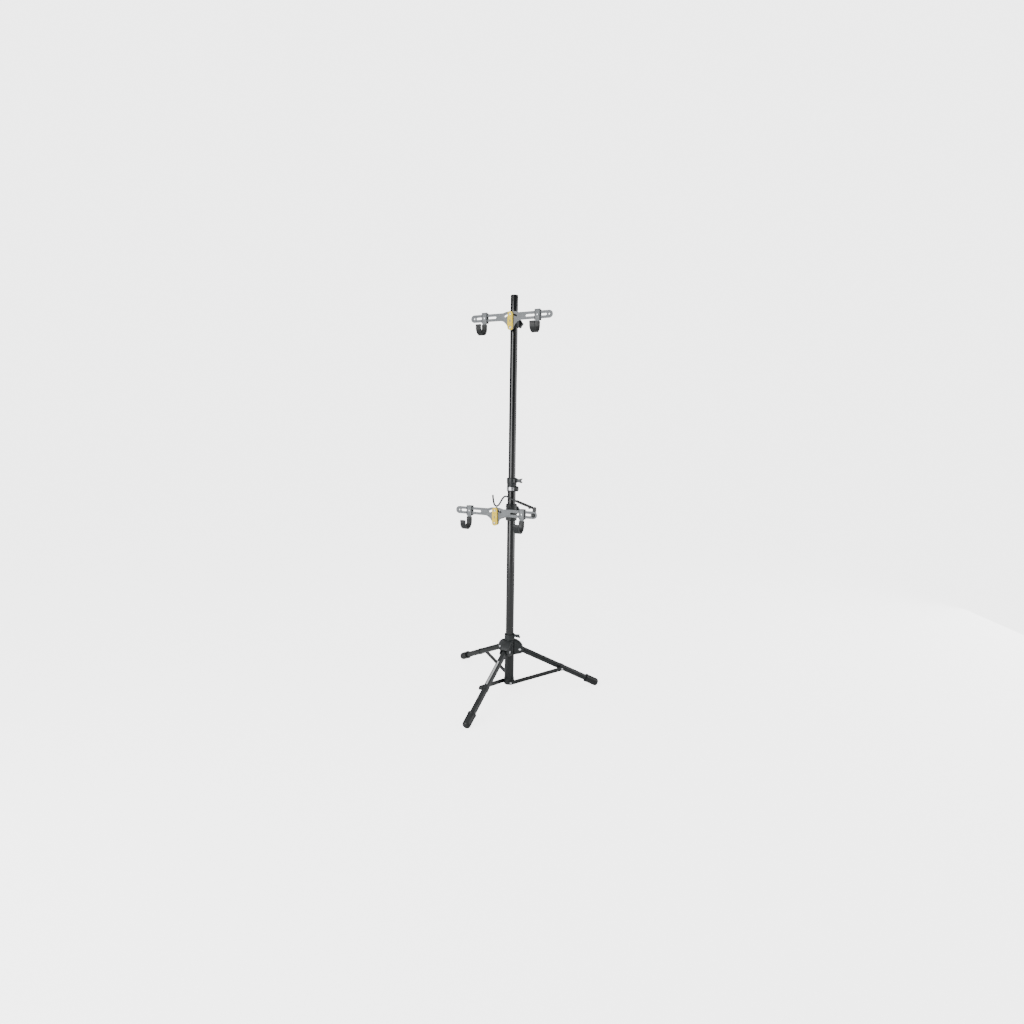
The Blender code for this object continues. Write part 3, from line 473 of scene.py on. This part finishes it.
def make_mast():
    axis = Matrix.Translation((0, MAST_Y, 0))
    for node, bore, edge in (("lower_mast", LOWER_R - TUBE_WALL, 0.0006),
                             ("upper_mast", UPPER_R - TUBE_WALL, 0.0006),
                             ("base_sleeve", LOWER_R + GAP, 0.0010)):
        low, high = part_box(node)
        profile = tube_profile((high.x - low.x) / 2, bore, low.z, high.z, edge)
        stand_in(node, lathe(node, profile, 96, True), axis)
    low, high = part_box("mast_cap")
    rim, plug = (high.x - low.x) / 2, UPPER_R - TUBE_WALL - GAP
    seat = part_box("upper_mast")[1].z + GAP
    dome = bezier((0, high.z), (0.60 * rim, high.z), (rim, high.z - 0.0005), (rim, seat), 10)
    stand_in("mast_cap", lathe("mast_cap", dome + [(plug, seat), (plug, low.z), (0, low.z)], 72),
             axis)


def make_collar():
    """The collar, stepped out at its head and grooved for the silver band."""
    low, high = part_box("mast_collar")
    band_low, band_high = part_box("collar_band")
    groove, groove_low, groove_high = COLLAR_R - BAND_SINK, band_low.z - GAP, band_high.z + GAP
    head_low = high.z - COLLAR_HEAD_TALL
    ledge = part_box("lower_mast")[1].z + GAP
    profile = fillet([
        (COLLAR_HEAD_R, high.z, 0.0016), (COLLAR_HEAD_R, head_low, 0.0012),
        (COLLAR_R, head_low - COLLAR_STEP, 0.0012), (COLLAR_R, groove_high),
        (groove, groove_high, 0), (groove, groove_low, 0), (COLLAR_R, groove_low),
        (COLLAR_R, low.z, 0.0016), (LOWER_R + GAP, low.z, 0.0006), (LOWER_R + GAP, ledge, 0),
        (UPPER_R + GAP, ledge, 0), (UPPER_R + GAP, high.z, 0.0008)], 0.0005, True)
    stand_in("mast_collar", lathe("mast_collar", profile, 96, True),
             Matrix.Translation((0, MAST_Y, 0)))


def make_collar_lugs():
    """The six-sided lug with its screw, and the boss behind the wing knob."""
    band_low, band_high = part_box("collar_band")
    lug_z = (band_low.z + band_high.z) / 2 - COLLAR_LUG_DROP
    hexagon = fillet(arc(0, 0, COLLAR_LUG_R, 0, 300, 5), 0.0014, True)
    piece("collar_lug", slab("collar_lug", [hexagon], COLLAR_LUG_IN, COLLAR_LUG_OUT),
          along_x(0, MAST_Y, lug_z), "black_plastic", "root", round_edges=0.0010)
    piece("collar_lug_screw", lathe("collar_lug_screw", screw_head(0.0045, 0.0022, 0.0012), 32),
          upright(0.0268, MAST_Y - 0.0112, lug_z), "black_plastic", "root")
    boss = fillet([(-0.0185, -0.0100), (0.0185, -0.0100), (0.0185, 0.0100), (-0.0185, 0.0100)],
                  0.0030, True)
    piece("collar_knob_boss", slab("collar_knob_boss", [boss], BOSS_BACK, BOSS_FRONT),
          upright(0, MAST_Y, BOSS_Z) @ Matrix.Rotation(QUARTER, 4, "Y"), "black_plastic", "root",
          round_edges=0.0012)


def make_band():
    """The silver band, open on its right side, and its screw, with a black disc in the screw's recess as painted
    shade of its socket.
    """
    low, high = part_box("collar_band")
    half, middle = (high.z - low.z) / 2, (low.z + high.z) / 2
    strip = fillet([(BAND_OUTER, half), (BAND_OUTER, -half), (BAND_INNER, -half),
                    (BAND_INNER, half)], 0.0003, True)
    opening, steps = math.radians(BAND_OPENING), 84
    shape = bmesh.new()
    rows = [turned_row(shape, strip, opening + (TURN - 2 * opening) * k / steps)
            for k in range(steps + 1)]
    bridge(shape, rows, True)
    shape.faces.new(rows[0])
    shape.faces.new(rows[-1])
    stand_in("collar_band", finish_mesh(shape, "collar_band"),
             Matrix.Translation((0, MAST_Y, middle)))
    spot = outward(math.radians(BAND_SCREW_AZIMUTH), BAND_SCREW_RADIUS, middle)
    piece("band_screw", lathe("band_screw", screw_head(0.0042, 0.0019, 0.0013), 32), spot,
          "bright_steel", "root")
    # A black disc in the screw head's recess: painted shade that stands for the dark hollow of its socket.
    painted_shade_disc = [(0, 0.0009), (0.0021, 0.0009), (0.0021, 0.0002)]
    piece("band_screw_socket", lathe("band_screw_socket", painted_shade_disc, 6), spot, "black_plastic",
          "root")


def wing_mesh(name):
    """A butterfly knob lying along local X, its wings in local Y."""
    outline = fillet([(0, -0.0072), (0.0105, -0.0080, 0.004), (0.0290, -0.0117, 0.0030),
                      (0.0299, -0.0070, 0.0026), (0.0225, 0, 0.0040), (0.0299, 0.0070, 0.0026),
                      (0.0290, 0.0117, 0.0030), (0.0105, 0.0080, 0.004), (0, 0.0072)],
                     0.0010, True, 6)
    return slab(name, [outline], -WING_HALF_THICK, WING_HALF_THICK)


def make_wing_knobs():
    neck = fillet([(0, 0.0120), (0.0044, 0.0120, 0.0012), (0.0062, 0.0002, 0.0004), (0, 0.0002)],
                  0.0008)
    for node, lean in (("collar_knob", 0), ("hub_knob", HUB_WING_LEAN)):
        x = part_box(node)[0].x
        y, z = JOINTS[node + "_turn"]["pos_m"][1:]
        where = (Matrix.Translation((x, y, z))
                 @ Matrix.Rotation(QUARTER + math.radians(lean), 4, "X"))
        piece(node + "_fine", wing_mesh(node), where, "knob_plastic", BODY_OF[node], [node],
              WING_ROUND, 3)
        piece(node + "_neck", lathe(node + "_neck", neck, 32), along_x(x, y, z), "knob_plastic",
              BODY_OF[node])


# ---------------------------------------------------------------- tripod
def leg_fall(side, foot_z):
    """How far a leg drops and how far it runs outward, from its pin to its foot's centre."""
    pin = Vector(JOINTS[side + "_leg_hinge"]["pos_m"])
    return pin.z - foot_z, FOOT_RADIUS - (pin - Vector((0, MAST_Y, pin.z))).length


def foot_height(side):
    """A foot's centre above the floor, from the slope of its leg and the depth of its flat."""
    slope = math.atan2(*leg_fall(side, FOOT_R))
    round_end = ((FOOT_END - FOOT_CORNER) * math.sin(slope)
                 + (FOOT_R - FOOT_CORNER) * math.cos(slope))
    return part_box("foot_" + side)[0].z + round_end + FOOT_CORNER - FOOT_FLAT


def leg_place(side):
    """The leg's frame, length and slope: local Z runs out and down it, local -X is its top."""
    hinge = JOINTS[side + "_leg_hinge"]
    pin, tangent = Vector(hinge["pos_m"]), Vector(hinge["axis"])
    radial = Vector((tangent.y, -tangent.x, 0))
    drop, run = leg_fall(side, foot_height(side))
    slope = math.atan2(drop, run)
    z_axis = radial * math.cos(slope) + Vector((0, 0, -math.sin(slope)))
    where = Matrix((tangent.cross(z_axis), tangent, z_axis)).transposed().to_4x4()
    where.translation = pin
    return where, math.hypot(drop, run), slope


def make_foot(side, where, length):
    """A rubber foot with a rim and a groove, flat where it stands on the floor."""
    back, rim = FOOT_END - FOOT_LENGTH, FOOT_R + FOOT_RIM
    groove, groove_r, bore = back + 0.0150, FOOT_R - FOOT_GROOVE, LEG_R + GAP
    profile = [(0, FOOT_END)]
    profile += arc(FOOT_R - FOOT_CORNER, FOOT_END - FOOT_CORNER, FOOT_CORNER, 90, 0, 14)
    profile += [(FOOT_R, groove + 0.0012), (groove_r, groove + 0.0005),
                (groove_r, groove - 0.0005), (FOOT_R, groove - 0.0012)]
    profile += fillet([(FOOT_R, back + 0.0110), (FOOT_R, back + 0.0085), (rim, back + 0.0070),
                       (rim, back, 0.0012), (bore, back, 0.0004), (bore, GAP - LEG_INSET)], 0.0008)
    profile.append((0, GAP - LEG_INSET))
    mesh = lathe("foot_" + side, profile, 72)
    place = where @ Matrix.Translation((0, 0, length))
    back_to_local = place.inverted()
    for vert in mesh.vertices:
        spot = place @ vert.co
        if spot.z < 0:
            vert.co = back_to_local @ Vector((spot.x, spot.y, 0.0))
    stand_in("foot_" + side, mesh, place)


def make_leg_bracket(side, ring):
    """The sleeve round a leg, and the lug that the brace is pinned to."""
    node = "leg_bracket_" + side
    wall = fillet([(BRACKET_R, BRACKET_HALF), (BRACKET_R, -BRACKET_HALF),
                   (BRACKET_BORE, -BRACKET_HALF), (BRACKET_BORE, BRACKET_HALF)], 0.0007, True)
    stand_in(node, lathe(node, wall, 64, True), ring)
    tip, root = BRACE_OFFSET - GAP, 0.0150
    lug = fillet([(0, tip), (BRACKET_LUG_R, tip, 0.0008), (BRACKET_LUG_R, root, 0), (0, root)],
                 0.0005)
    piece("bracket_lug_" + side, lathe("bracket_lug_" + side, lug, 40),
          ring @ Matrix.Rotation(QUARTER, 4, "X"), "black_plastic", BODY_OF[node])


def make_legs():
    for side in SIDES:
        node = "leg_" + side
        where, length, slope = leg_place(side)
        profile = tube_profile(LEG_R, LEG_BORE, -LEG_BEHIND_PIN, length - LEG_INSET)
        stand_in(node, lathe(node, profile, 64, True), where)
        make_foot(side, where, length)
        reach = BRACE_LEG_RADIUS - LEG_PIN_RADIUS
        make_leg_bracket(side, where @ Matrix.Translation((0, 0, reach / math.cos(slope))))
        make_brace(side, reach * math.tan(slope))


def make_stripe():
    """A plain pale stripe along the upper face of the front leg."""
    half, steps, reach = math.radians(STRIPE_HALF_ANGLE), 8, LEG_R + STRIPE_LIFT
    shape = bmesh.new()
    rows = []
    for z, share in ((STRIPE_START, 0.80), (STRIPE_START + STRIPE_TAPER, 1.0),
                     (STRIPE_END - STRIPE_TAPER, 1.0), (STRIPE_END, 0.80)):
        turns = [math.pi + share * half * (2 * k / steps - 1) for k in range(steps + 1)]
        rows.append([shape.verts.new((reach * math.cos(turn), reach * math.sin(turn), z))
                     for turn in turns])
    bridge(shape, rows, False)
    stripe = piece("leg_stripe", finish_mesh(shape, "leg_stripe"), leg_place("front")[0],
                   "pale_ink", "front_leg")
    skin = stripe.modifiers.new("skin", "SOLIDIFY")
    skin.thickness = STRIPE_THICK
    skin.offset = 0


def make_brace(side, fall):
    """A flat brace with a channel pressed in its face. fall is its leg's drop from the pin."""
    tangent = Vector(JOINTS[side + "_leg_hinge"]["axis"])
    radial = Vector((tangent.y, -tangent.x, 0))
    foot = Vector(JOINTS[side + "_brace_hinge"]["pos_m"])
    end = (Vector((0, MAST_Y, 0)) + radial * BRACE_LEG_RADIUS
           - tangent * (BRACE_OFFSET + BRACE_THICK / 2))
    end.z = JOINTS[side + "_leg_hinge"]["pos_m"][2] - fall
    x_axis, z_axis = (end - foot).normalized(), -tangent
    where = Matrix((x_axis, z_axis.cross(x_axis), z_axis)).transposed().to_4x4()
    where.translation = foot
    length = (end - foot).length
    flat = slab("brace_" + side, [obround(0, 0, length, 0, BRACE_WIDTH / 2), hole(0, 0, HOLE_R)],
                -BRACE_THICK / 2, BRACE_THICK / 2)
    groove = obround(BRACE_CHANNEL_INSET, 0, length - BRACE_CHANNEL_INSET, 0, BRACE_CHANNEL_R, 12)
    channel = slab("channel", [groove], BRACE_CHANNEL_FLOOR, BRACE_THICK)
    stand_in("brace_" + side, cut(flat, channel), where, 0.0007)
    head = lathe("brace_rivet_" + side, screw_head(0.0050, 0.0024, 0.0006), 36)
    piece("brace_rivet_" + side, head,
          where @ Matrix.Translation((length, 0, BRACE_THICK / 2 + 0.0001)), "bright_steel",
          BODY_OF["brace_" + side])
    screw = fillet([(0, 0.0026), (SCREW_R, 0.0024, 0.001), (0.0052, 0.0010, 0.0006), (0.0052, 0),
                    (SCREW_R, 0, 0), (SCREW_R, -0.0087), (0, -0.0087)], 0.0003)
    stand_in("brace_screw_" + side, lathe("brace_screw_" + side, screw, 36),
             where @ Matrix.Translation((0, 0, BRACE_THICK / 2 + GAP)))


def make_pins():
    """The three hinge pins, with a head at each end."""
    seat = HUB_CHEEK + GAP
    top = seat + PIN_RISE
    half = fillet([(0, top), (0.0038, top - 0.0003, 0.0015), (PIN_HEAD_R, top - 0.0021, 0.0008),
                   (PIN_HEAD_R, seat, 0.0002), (PIN_R, seat, 0)], 0.0004)
    profile = half + [(r, -z) for r, z in reversed(half)]
    for side in SIDES:
        hinge = JOINTS[side + "_leg_hinge"]
        where = Vector(hinge["axis"]).to_track_quat("Z", "Y").to_matrix().to_4x4()
        where.translation = Vector(hinge["pos_m"])
        stand_in("leg_pin_" + side, lathe("leg_pin_" + side, profile, 48), where)


# ---------------------------------------------------------------- cradles
def tier_place(tier):
    """The depth and the height of the bar's centre."""
    spot = Vector(JOINTS[tier + "_tilt"]["pos_m"])
    return spot.y, spot.z + PIVOT_DROP


def bar_rings():
    """The bar's outline, and its slots and holes."""
    end, tall = BAR_HALF - BAR_HEIGHT / 2, BAR_HEIGHT / 2
    right = arc(end, 0, tall, -90, 90, 28)
    rise = bezier((0.0420, tall), (0.0320, tall), (0.0280, BAR_CREST), (0.0140, BAR_CREST), 16)
    tongue = arc(0, -PIVOT_DROP, TONGUE_R, 180, 360, 24)
    fall = bezier((0.0125, -0.0520), (0.0190, -0.0320), (0.0360, -tall), (0.0520, -tall), 18)
    right_top = right + rise
    left_top = [(-x, y) for x, y in reversed(right_top)]
    left_fall = [(-x, y) for x, y in reversed(fall)]
    outline = right_top + left_top + left_fall + tongue[5:-5] + fall

    narrow = SLOT_WIDTH / 2
    slots = [obround(s * (SLOT_INNER + narrow), 0, s * (SLOT_OUTER - narrow), 0, narrow)
             for s in (-1, 1)]
    holes = [hole(s * end, 0, BAR_END_HOLE_R) for s in (-1, 1)]
    middle, swing, wide = TOP_SCREW_UP + PIVOT_DROP, ARC_SLOT_HALF_ANGLE, ARC_SLOT_WIDTH / 2
    ends = [arc(0, -PIVOT_DROP, middle, 90 + a, 90 + a, 1)[0] for a in (-swing, swing)]
    arc_slot = (arc(0, -PIVOT_DROP, middle + wide, 90 - swing, 90 + swing, 28)
                + arc(*ends[1], wide, 90 + swing, 270 + swing, 12)[1:-1]
                + arc(0, -PIVOT_DROP, middle - wide, 90 + swing, 90 - swing, 28)
                + arc(*ends[0], wide, 270 - swing, 450 - swing, 12)[1:-1])
    return [outline, *slots, *holes, hole(0, -PIVOT_DROP, HOLE_R), arc_slot]


def make_bar(tier, y, z):
    mesh = slab(tier + "_bar", bar_rings(), -BAR_THICK / 2, BAR_THICK / 2)
    stand_in(tier + "_bar", mesh, upright(0, y, z), 0.0009)


def make_plate(tier, y, z):
    """The cover plate and the plain mark on it."""
    outline = obround(0, PLATE_LOW + PLATE_HALF, 0, PLATE_HIGH - PLATE_HALF, PLATE_HALF, 28)
    holes = [hole(0, height, HOLE_R) for height in (TOP_SCREW_UP, -PIVOT_DROP)]
    stand_in(tier + "_cover_plate", slab(tier + "_plate", [outline, *holes],
                                         BAR_THICK / 2 + GAP, PLATE_FRONT),
             upright(0, y, z), 0.0016, 3)
    mark = obround(0, MARK_LOW, 0, MARK_HIGH, MARK_R, 14)
    piece(tier + "_plate_mark", slab(tier + "_mark", [mark], PLATE_FRONT - MARK_LIFT,
                                     PLATE_FRONT + MARK_LIFT),
          upright(0, y, z), "grey_paint", BODY_OF[tier + "_cover_plate"])


def make_plate_screws(tier, z):
    """The two long screws through the plate, each with a black disc in its head's recess as painted shade of its
    socket.
    """
    for row, height in (("top", TOP_SCREW_UP), ("pivot", -PIVOT_DROP)):
        node = "{}_{}_screw".format(tier, row)
        low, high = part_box(node)
        end = SCREW_SINK - (high.y - low.y)
        where = upright(0, low.y + SCREW_SINK, z + height)
        profile = screw_head(0.0052, 0.0020, 0.0011) + [(SCREW_R, 0), (SCREW_R, end), (0, end)]
        stand_in(node, lathe(node, profile, 48), where)
        # A black disc in the head's recess: painted shade that stands for the dark hollow of the socket.
        painted_shade_disc = lathe(node + "_socket", [(0, 0.0010), (0.0020, 0.0010), (0.0020, 0.0004)], 6)
        piece(node + "_socket", painted_shade_disc, where, "black_plastic", BODY_OF[node])


def make_knob(tier):
    """A five-lobed knob with a round cap flush with its face, and its stud."""
    node = tier + "_knob"
    low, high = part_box(node)
    spot = Vector(JOINTS[node + "_turn"]["pos_m"])
    where = upright(0, spot.y, spot.z)
    lobes = []
    for k in range(90):
        turn = TURN * k / 90
        reach = KNOB_R + KNOB_LOBE * math.cos(KNOB_LOBES * turn)
        lobes.append((reach * math.cos(turn), reach * math.sin(turn)))
    depth = high.y - spot.y
    stand_in(node, slab(node, [lobes], -depth, 0), where, 0.0030, 4)
    cap = fillet([(0, -depth), (0.0100, -depth, 0.0005), (0.0104, -depth + 0.0030, 0),
                  (0, -depth + 0.0030)], 0.0004)
    piece(node + "_cap", lathe(node + "_cap", cap, 48), where, "black_rubber", BODY_OF[node])
    tip = spot.y - low.y
    stud = [(0, tip), (0.0040, tip), (0.0040, -0.0020), (0, -0.0020)]
    piece(node + "_stud", lathe(node + "_stud", stud, 32), where, "bright_steel", BODY_OF[node])


def cover_outline(middle):
    """The J of a hook's rubber cover, with one wide groove across its lip."""
    thick = COVER_THICK / 2
    bend = (COVER_REACH - thick - middle) / 2
    bend_z = COVER_BOTTOM + thick + bend
    front = middle + bend
    outer = arc(front, bend_z, bend + thick, 180, 351, 38)
    face = front + bend + thick
    grooves = fillet([outer[-1], (face - 0.0020, bend_z - 0.0046), (face - 0.0016, bend_z - 0.0004),
                      (face, bend_z + 0.0002)], 0.0006)[1:]
    lip = arc(front + bend, LIP_TOP - thick, thick, 0, 180, 14)
    inner = arc(front, bend_z, bend - thick, 360, 180, 36)
    return ([(middle - thick, COVER_TOP)] + outer + grooves + lip + inner[1:]
            + [(middle + thick, COVER_TOP)])


def make_hook(tier, side, y, z):
    """A strap in front of the bar, the clip behind it and the rubber cover below."""
    name = "{}_{}_hook".format(tier, side)
    x = HOOK_X if side == "right" else -HOOK_X
    where = sideways(x, z)
    reach, half, bar_half = MAST_Y - y, STRAP_THICK / 2, BAR_THICK / 2
    middle = reach + bar_half + GAP + half
    low = COVER_TOP - STRAP_TONGUE
    strap = fillet([(middle - half, low), (middle + half, low), (middle + half, STRAP_TOP),
                    (middle - half, STRAP_TOP)], 0.0003, True, 2)
    stand_in(name + "_strap", slab(name + "_strap", [strap], -STRAP_HALF, STRAP_HALF), where,
             0.0006)

    bar_top = BAR_HEIGHT / 2 + GAP
    near, far, throat = reach - CLIP_BACK, reach + bar_half, reach - bar_half - GAP
    clip = fillet([(near, -STRAP_TOP, 0.0030), (far, -STRAP_TOP), (far, -bar_top),
                   (throat, -bar_top), (throat, bar_top), (far, bar_top), (far, STRAP_TOP),
                   (near, STRAP_TOP, 0.0030)], 0.0003, True, 4)
    stand_in(name + "_clip", slab(name + "_clip", [clip], -CLIP_HALF, CLIP_HALF), where, 0.0008)

    outline = [(px + reach, py) for px, py in cover_outline(middle - reach)]
    stand_in(name + "_cover", slab(name + "_cover", [outline], -COVER_HALF, COVER_HALF), where,
             0.0013, 3)
    make_hook_trim(name, x, y, z)


def make_hook_trim(name, x, y, z):
    """The lips round a hook's strap, its screw, and the nut behind its clip."""
    body = BODY_OF[name + "_strap"]
    back = y - BAR_THICK / 2 - GAP
    lips = fillet([(-0.0136, -0.0228), (-0.0108, -0.0228), (-0.0108, 0.0232), (0.0108, 0.0232),
                   (0.0108, -0.0228), (0.0136, -0.0228), (0.0136, 0.0246), (-0.0136, 0.0246)],
                  0.0003, True, 2)
    piece(name + "_lips", slab(name + "_lips", [lips], 0, STRAP_THICK + 0.0004),
          upright(x, back, z), "black_plastic", body, round_edges=0.0004)
    screw = lathe(name + "_screw", screw_head(0.0044, 0.0021, 0.0011), 40)
    piece(name + "_screw", screw, upright(x, back - STRAP_THICK, z), "bright_steel", body)
    nut = slab(name + "_nut", [arc(0, 0, NUT_R, 0, 300, 5)], 0, NUT_THICK)
    piece(name + "_nut", nut, upright(x, y + CLIP_BACK, z) @ Matrix.Rotation(math.pi, 4, "X"),
          "bright_steel", body, round_edges=0.0004)


def make_bush(tier):
    low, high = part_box(tier + "_bush")
    outer = (high.x - low.x) / 2
    stand_in(tier + "_bush", lathe(tier + "_bush", tube_profile(
        outer, outer - BUSH_WALL, low.z, high.z, 0.0005), 96, True),
        Matrix.Translation((0, MAST_Y, 0)))


def make_ear_screws(tier, z):
    """The screws that close the clamp's two ears, with a head in front and behind."""
    for i, height in enumerate(EAR_SCREWS[tier]):
        for end, (depth, turn) in EAR_FACES.items():
            name = "{}_ear_screw_{}_{}".format(tier, end, i)
            where = upright(EAR_X, MAST_Y + depth, z + height) @ Matrix.Rotation(turn, 4, "X")
            piece(name, lathe(name, screw_head(0.0042, 0.0022, 0.0011), 36), where,
                  "bright_steel", BODY_OF[tier + "_clamp"])


def make_stabiliser(y, z):
    """The bracket and bolt on the bar's end, the bent rod, its grip and thumb knob."""
    pivot_x = JOINTS["stabiliser_swing"]["pos_m"][0]
    plane = y + STAB_PLANE
    where = upright(pivot_x, plane, z)
    back = BAR_THICK / 2 + GAP - STAB_PLANE
    top_x, top_z = STAB_BRACKET_TOP
    stand_in("stabiliser_bracket", slab("stabiliser_bracket", [
        obround(0, 0, top_x - pivot_x, top_z, STAB_BRACKET_R), hole(0, 0, HOLE_R)], back, -back),
        where, 0.0008)
    face = STAB_PLANE + BAR_THICK / 2 + GAP
    bolt = fillet([(0, face + 0.0034), (0.0036, face + 0.0034, 0), (0.0040, face + 0.0050),
                   (0.0066, face + 0.0048, 0.001), (0.0088, face + 0.0026), (0.0088, face),
                   (SCREW_R, face, 0), (SCREW_R, back - GAP, 0), (0.0060, back - GAP),
                   (0.0060, back - 0.0040), (0, back - 0.0040)], 0.0004)
    stand_in("stabiliser_bolt", lathe("stabiliser_bolt", bolt, 48), where)

    place = Matrix.Translation((pivot_x, plane, z))
    start = Vector((ROD_START[0] - pivot_x, 0, ROD_START[1]))
    route = smooth_path([(x - pivot_x, height) for x, height in ROD_ROUTE], 8)
    stand_in("stabiliser_rod", tube("stabiliser_rod", [start] + route, ROD_R, 24), place)
    steps = 150
    grip = [start.lerp(route[0], i / steps) for i in range(steps + 1)]
    stand_in("stabiliser_grip", tube("stabiliser_grip", grip, GRIP_R - RIB_HEIGHT, 36,
                                     (RIB_PITCH, RIB_HEIGHT)), place)
    thumb = fillet([(0, 0.0080), (0.0046, 0.0080), (0.0053, 0.0035), (0.0046, -0.0030),
                    (0, -0.0030)], 0.0012)
    piece("stabiliser_thumb_knob", lathe("stabiliser_thumb_knob", thumb, 40),
          upright(THUMB_KNOB_X, plane, z + THUMB_KNOB_UP), "black_plastic", "stabiliser")


# ---------------------------------------------------------------- kept CAD nodes
def dress_cad_nodes():
    """Gives every CAD node its finish, and softens the edges of those still shown."""
    for node, shown in NODES.items():
        shown.data.materials.clear()
        shown.data.materials.append(MATERIALS[SLOT_OF[node]])
        if shown.hide_render:
            continue
        weld = shown.modifiers.new("weld", "WELD")
        weld.merge_threshold = 0.00001
        soften(shown, 0.0007, 2)
        even = shown.modifiers.new("even", "WEIGHTED_NORMAL")
        even.keep_sharp = False


# ---------------------------------------------------------------- studio
def look_along(yaw, pitch, roll):
    """A camera's rotation from its heading, tilt and roll."""
    level = Vector((-math.sin(yaw), math.cos(yaw), 0))
    right = Vector((math.cos(yaw), math.sin(yaw), 0))
    ahead = level * math.cos(pitch) + Vector((0, 0, math.sin(pitch)))
    above = -level * math.sin(pitch) + Vector((0, 0, math.cos(pitch)))
    side = right * math.cos(roll) + above * math.sin(roll)
    top = -right * math.sin(roll) + above * math.cos(roll)
    return Matrix((side, top, -ahead)).transposed().to_4x4()


def make_camera():
    made = add_object("camera", bpy.data.cameras.new("camera"))
    x, y, z = CAMERA_SPOT
    made.matrix_world = Matrix.Translation((x, MAST_Y + y, z)) @ look_along(*CAMERA_TURN)
    made.data.sensor_width = CAMERA_SENSOR
    made.data.lens = CAMERA_LENS
    bpy.context.scene.camera = made


def area_light(name, spot, width, height, power):
    """A soft panel of light, aimed at the middle of the mast."""
    light = bpy.data.lights.new(name, "AREA")
    light.shape = "RECTANGLE"
    light.size, light.size_y = width, height
    light.energy = power
    made = add_object(name, light)
    made.location = spot
    made.rotation_mode = "QUATERNION"
    aim = Vector((0, MAST_Y, LIGHTS_AIM_Z)) - Vector(spot)
    made.rotation_quaternion = aim.to_track_quat("-Z", "Y")


def seen_only(tree, lit, glow, output):
    """Adds a white glow that only the camera's own rays see, and nothing reflects."""
    path = tree.nodes.new("ShaderNodeLightPath")
    strength = tree.nodes.new("ShaderNodeMath")
    strength.operation = "MULTIPLY"
    strength.inputs[1].default_value = glow
    tree.links.new(path.outputs["Is Camera Ray"], strength.inputs[0])
    white = tree.nodes.new("ShaderNodeEmission")
    tree.links.new(strength.outputs[0], white.inputs["Strength"])
    both = tree.nodes.new("ShaderNodeAddShader")
    tree.links.new(lit, both.inputs[0])
    tree.links.new(white.outputs[0], both.inputs[1])
    tree.links.new(both.outputs[0], tree.nodes[output].inputs["Surface"])


def make_floor():
    shape = bmesh.new()
    bmesh.ops.create_circle(shape, cap_ends=True, segments=96, radius=FLOOR_R)
    mesh = bpy.data.meshes.new("floor")
    shape.to_mesh(mesh)
    shape.free()
    floor = add_object("floor", mesh)
    floor.location = (0, 0, -FLOOR_DROP)
    paper, tree, shader, where = node_tree("floor_paper")
    tree.links.new(ramp(tree, noise(tree, where, 0.7), grey(0.84), grey(0.87)),
                   shader.inputs["Base Color"])
    shader.inputs["Roughness"].default_value = 0.95
    shader.inputs["Specular IOR Level"].default_value = 0.0
    seen_only(tree, shader.outputs["BSDF"], FLOOR_GLOW, "Material Output")
    mesh.materials.append(paper)


def make_lights():
    world = bpy.data.worlds.new("studio")
    bpy.context.scene.world = world
    world.use_nodes = True
    sky = world.node_tree.nodes["Background"]
    sky.inputs["Color"].default_value = (*WORLD_DIM, 1)
    seen_only(world.node_tree, sky.outputs[0], BACKDROP_GLOW, "World Output")

    overhead = bpy.data.lights.new("overhead", "SUN")
    overhead.energy = OVERHEAD
    overhead.angle = math.radians(OVERHEAD_SPREAD)
    lamp = add_object("overhead", overhead)
    lamp.rotation_euler = [math.radians(lean) for lean in OVERHEAD_LEAN]

    area_light("key_left", (-1.00, -3.30, 1.35), 2.2, 3.4, KEY)
    area_light("fill_right", (3.00, 1.20, 1.30), 3.4, 3.0, FILL)


make_camera()
make_mast()
make_collar()
make_collar_lugs()
make_band()
make_wing_knobs()
make_legs()
make_stripe()
make_pins()
for tier_name in TIERS:
    bar_y, bar_z = tier_place(tier_name)
    make_bar(tier_name, bar_y, bar_z)
    make_plate(tier_name, bar_y, bar_z)
    make_plate_screws(tier_name, bar_z)
    make_knob(tier_name)
    make_bush(tier_name)
    make_ear_screws(tier_name, bar_z)
    for hook_side in ("left", "right"):
        make_hook(tier_name, hook_side, bar_y, bar_z)
make_stabiliser(*tier_place("lower"))
dress_cad_nodes()
make_floor()
make_lights()
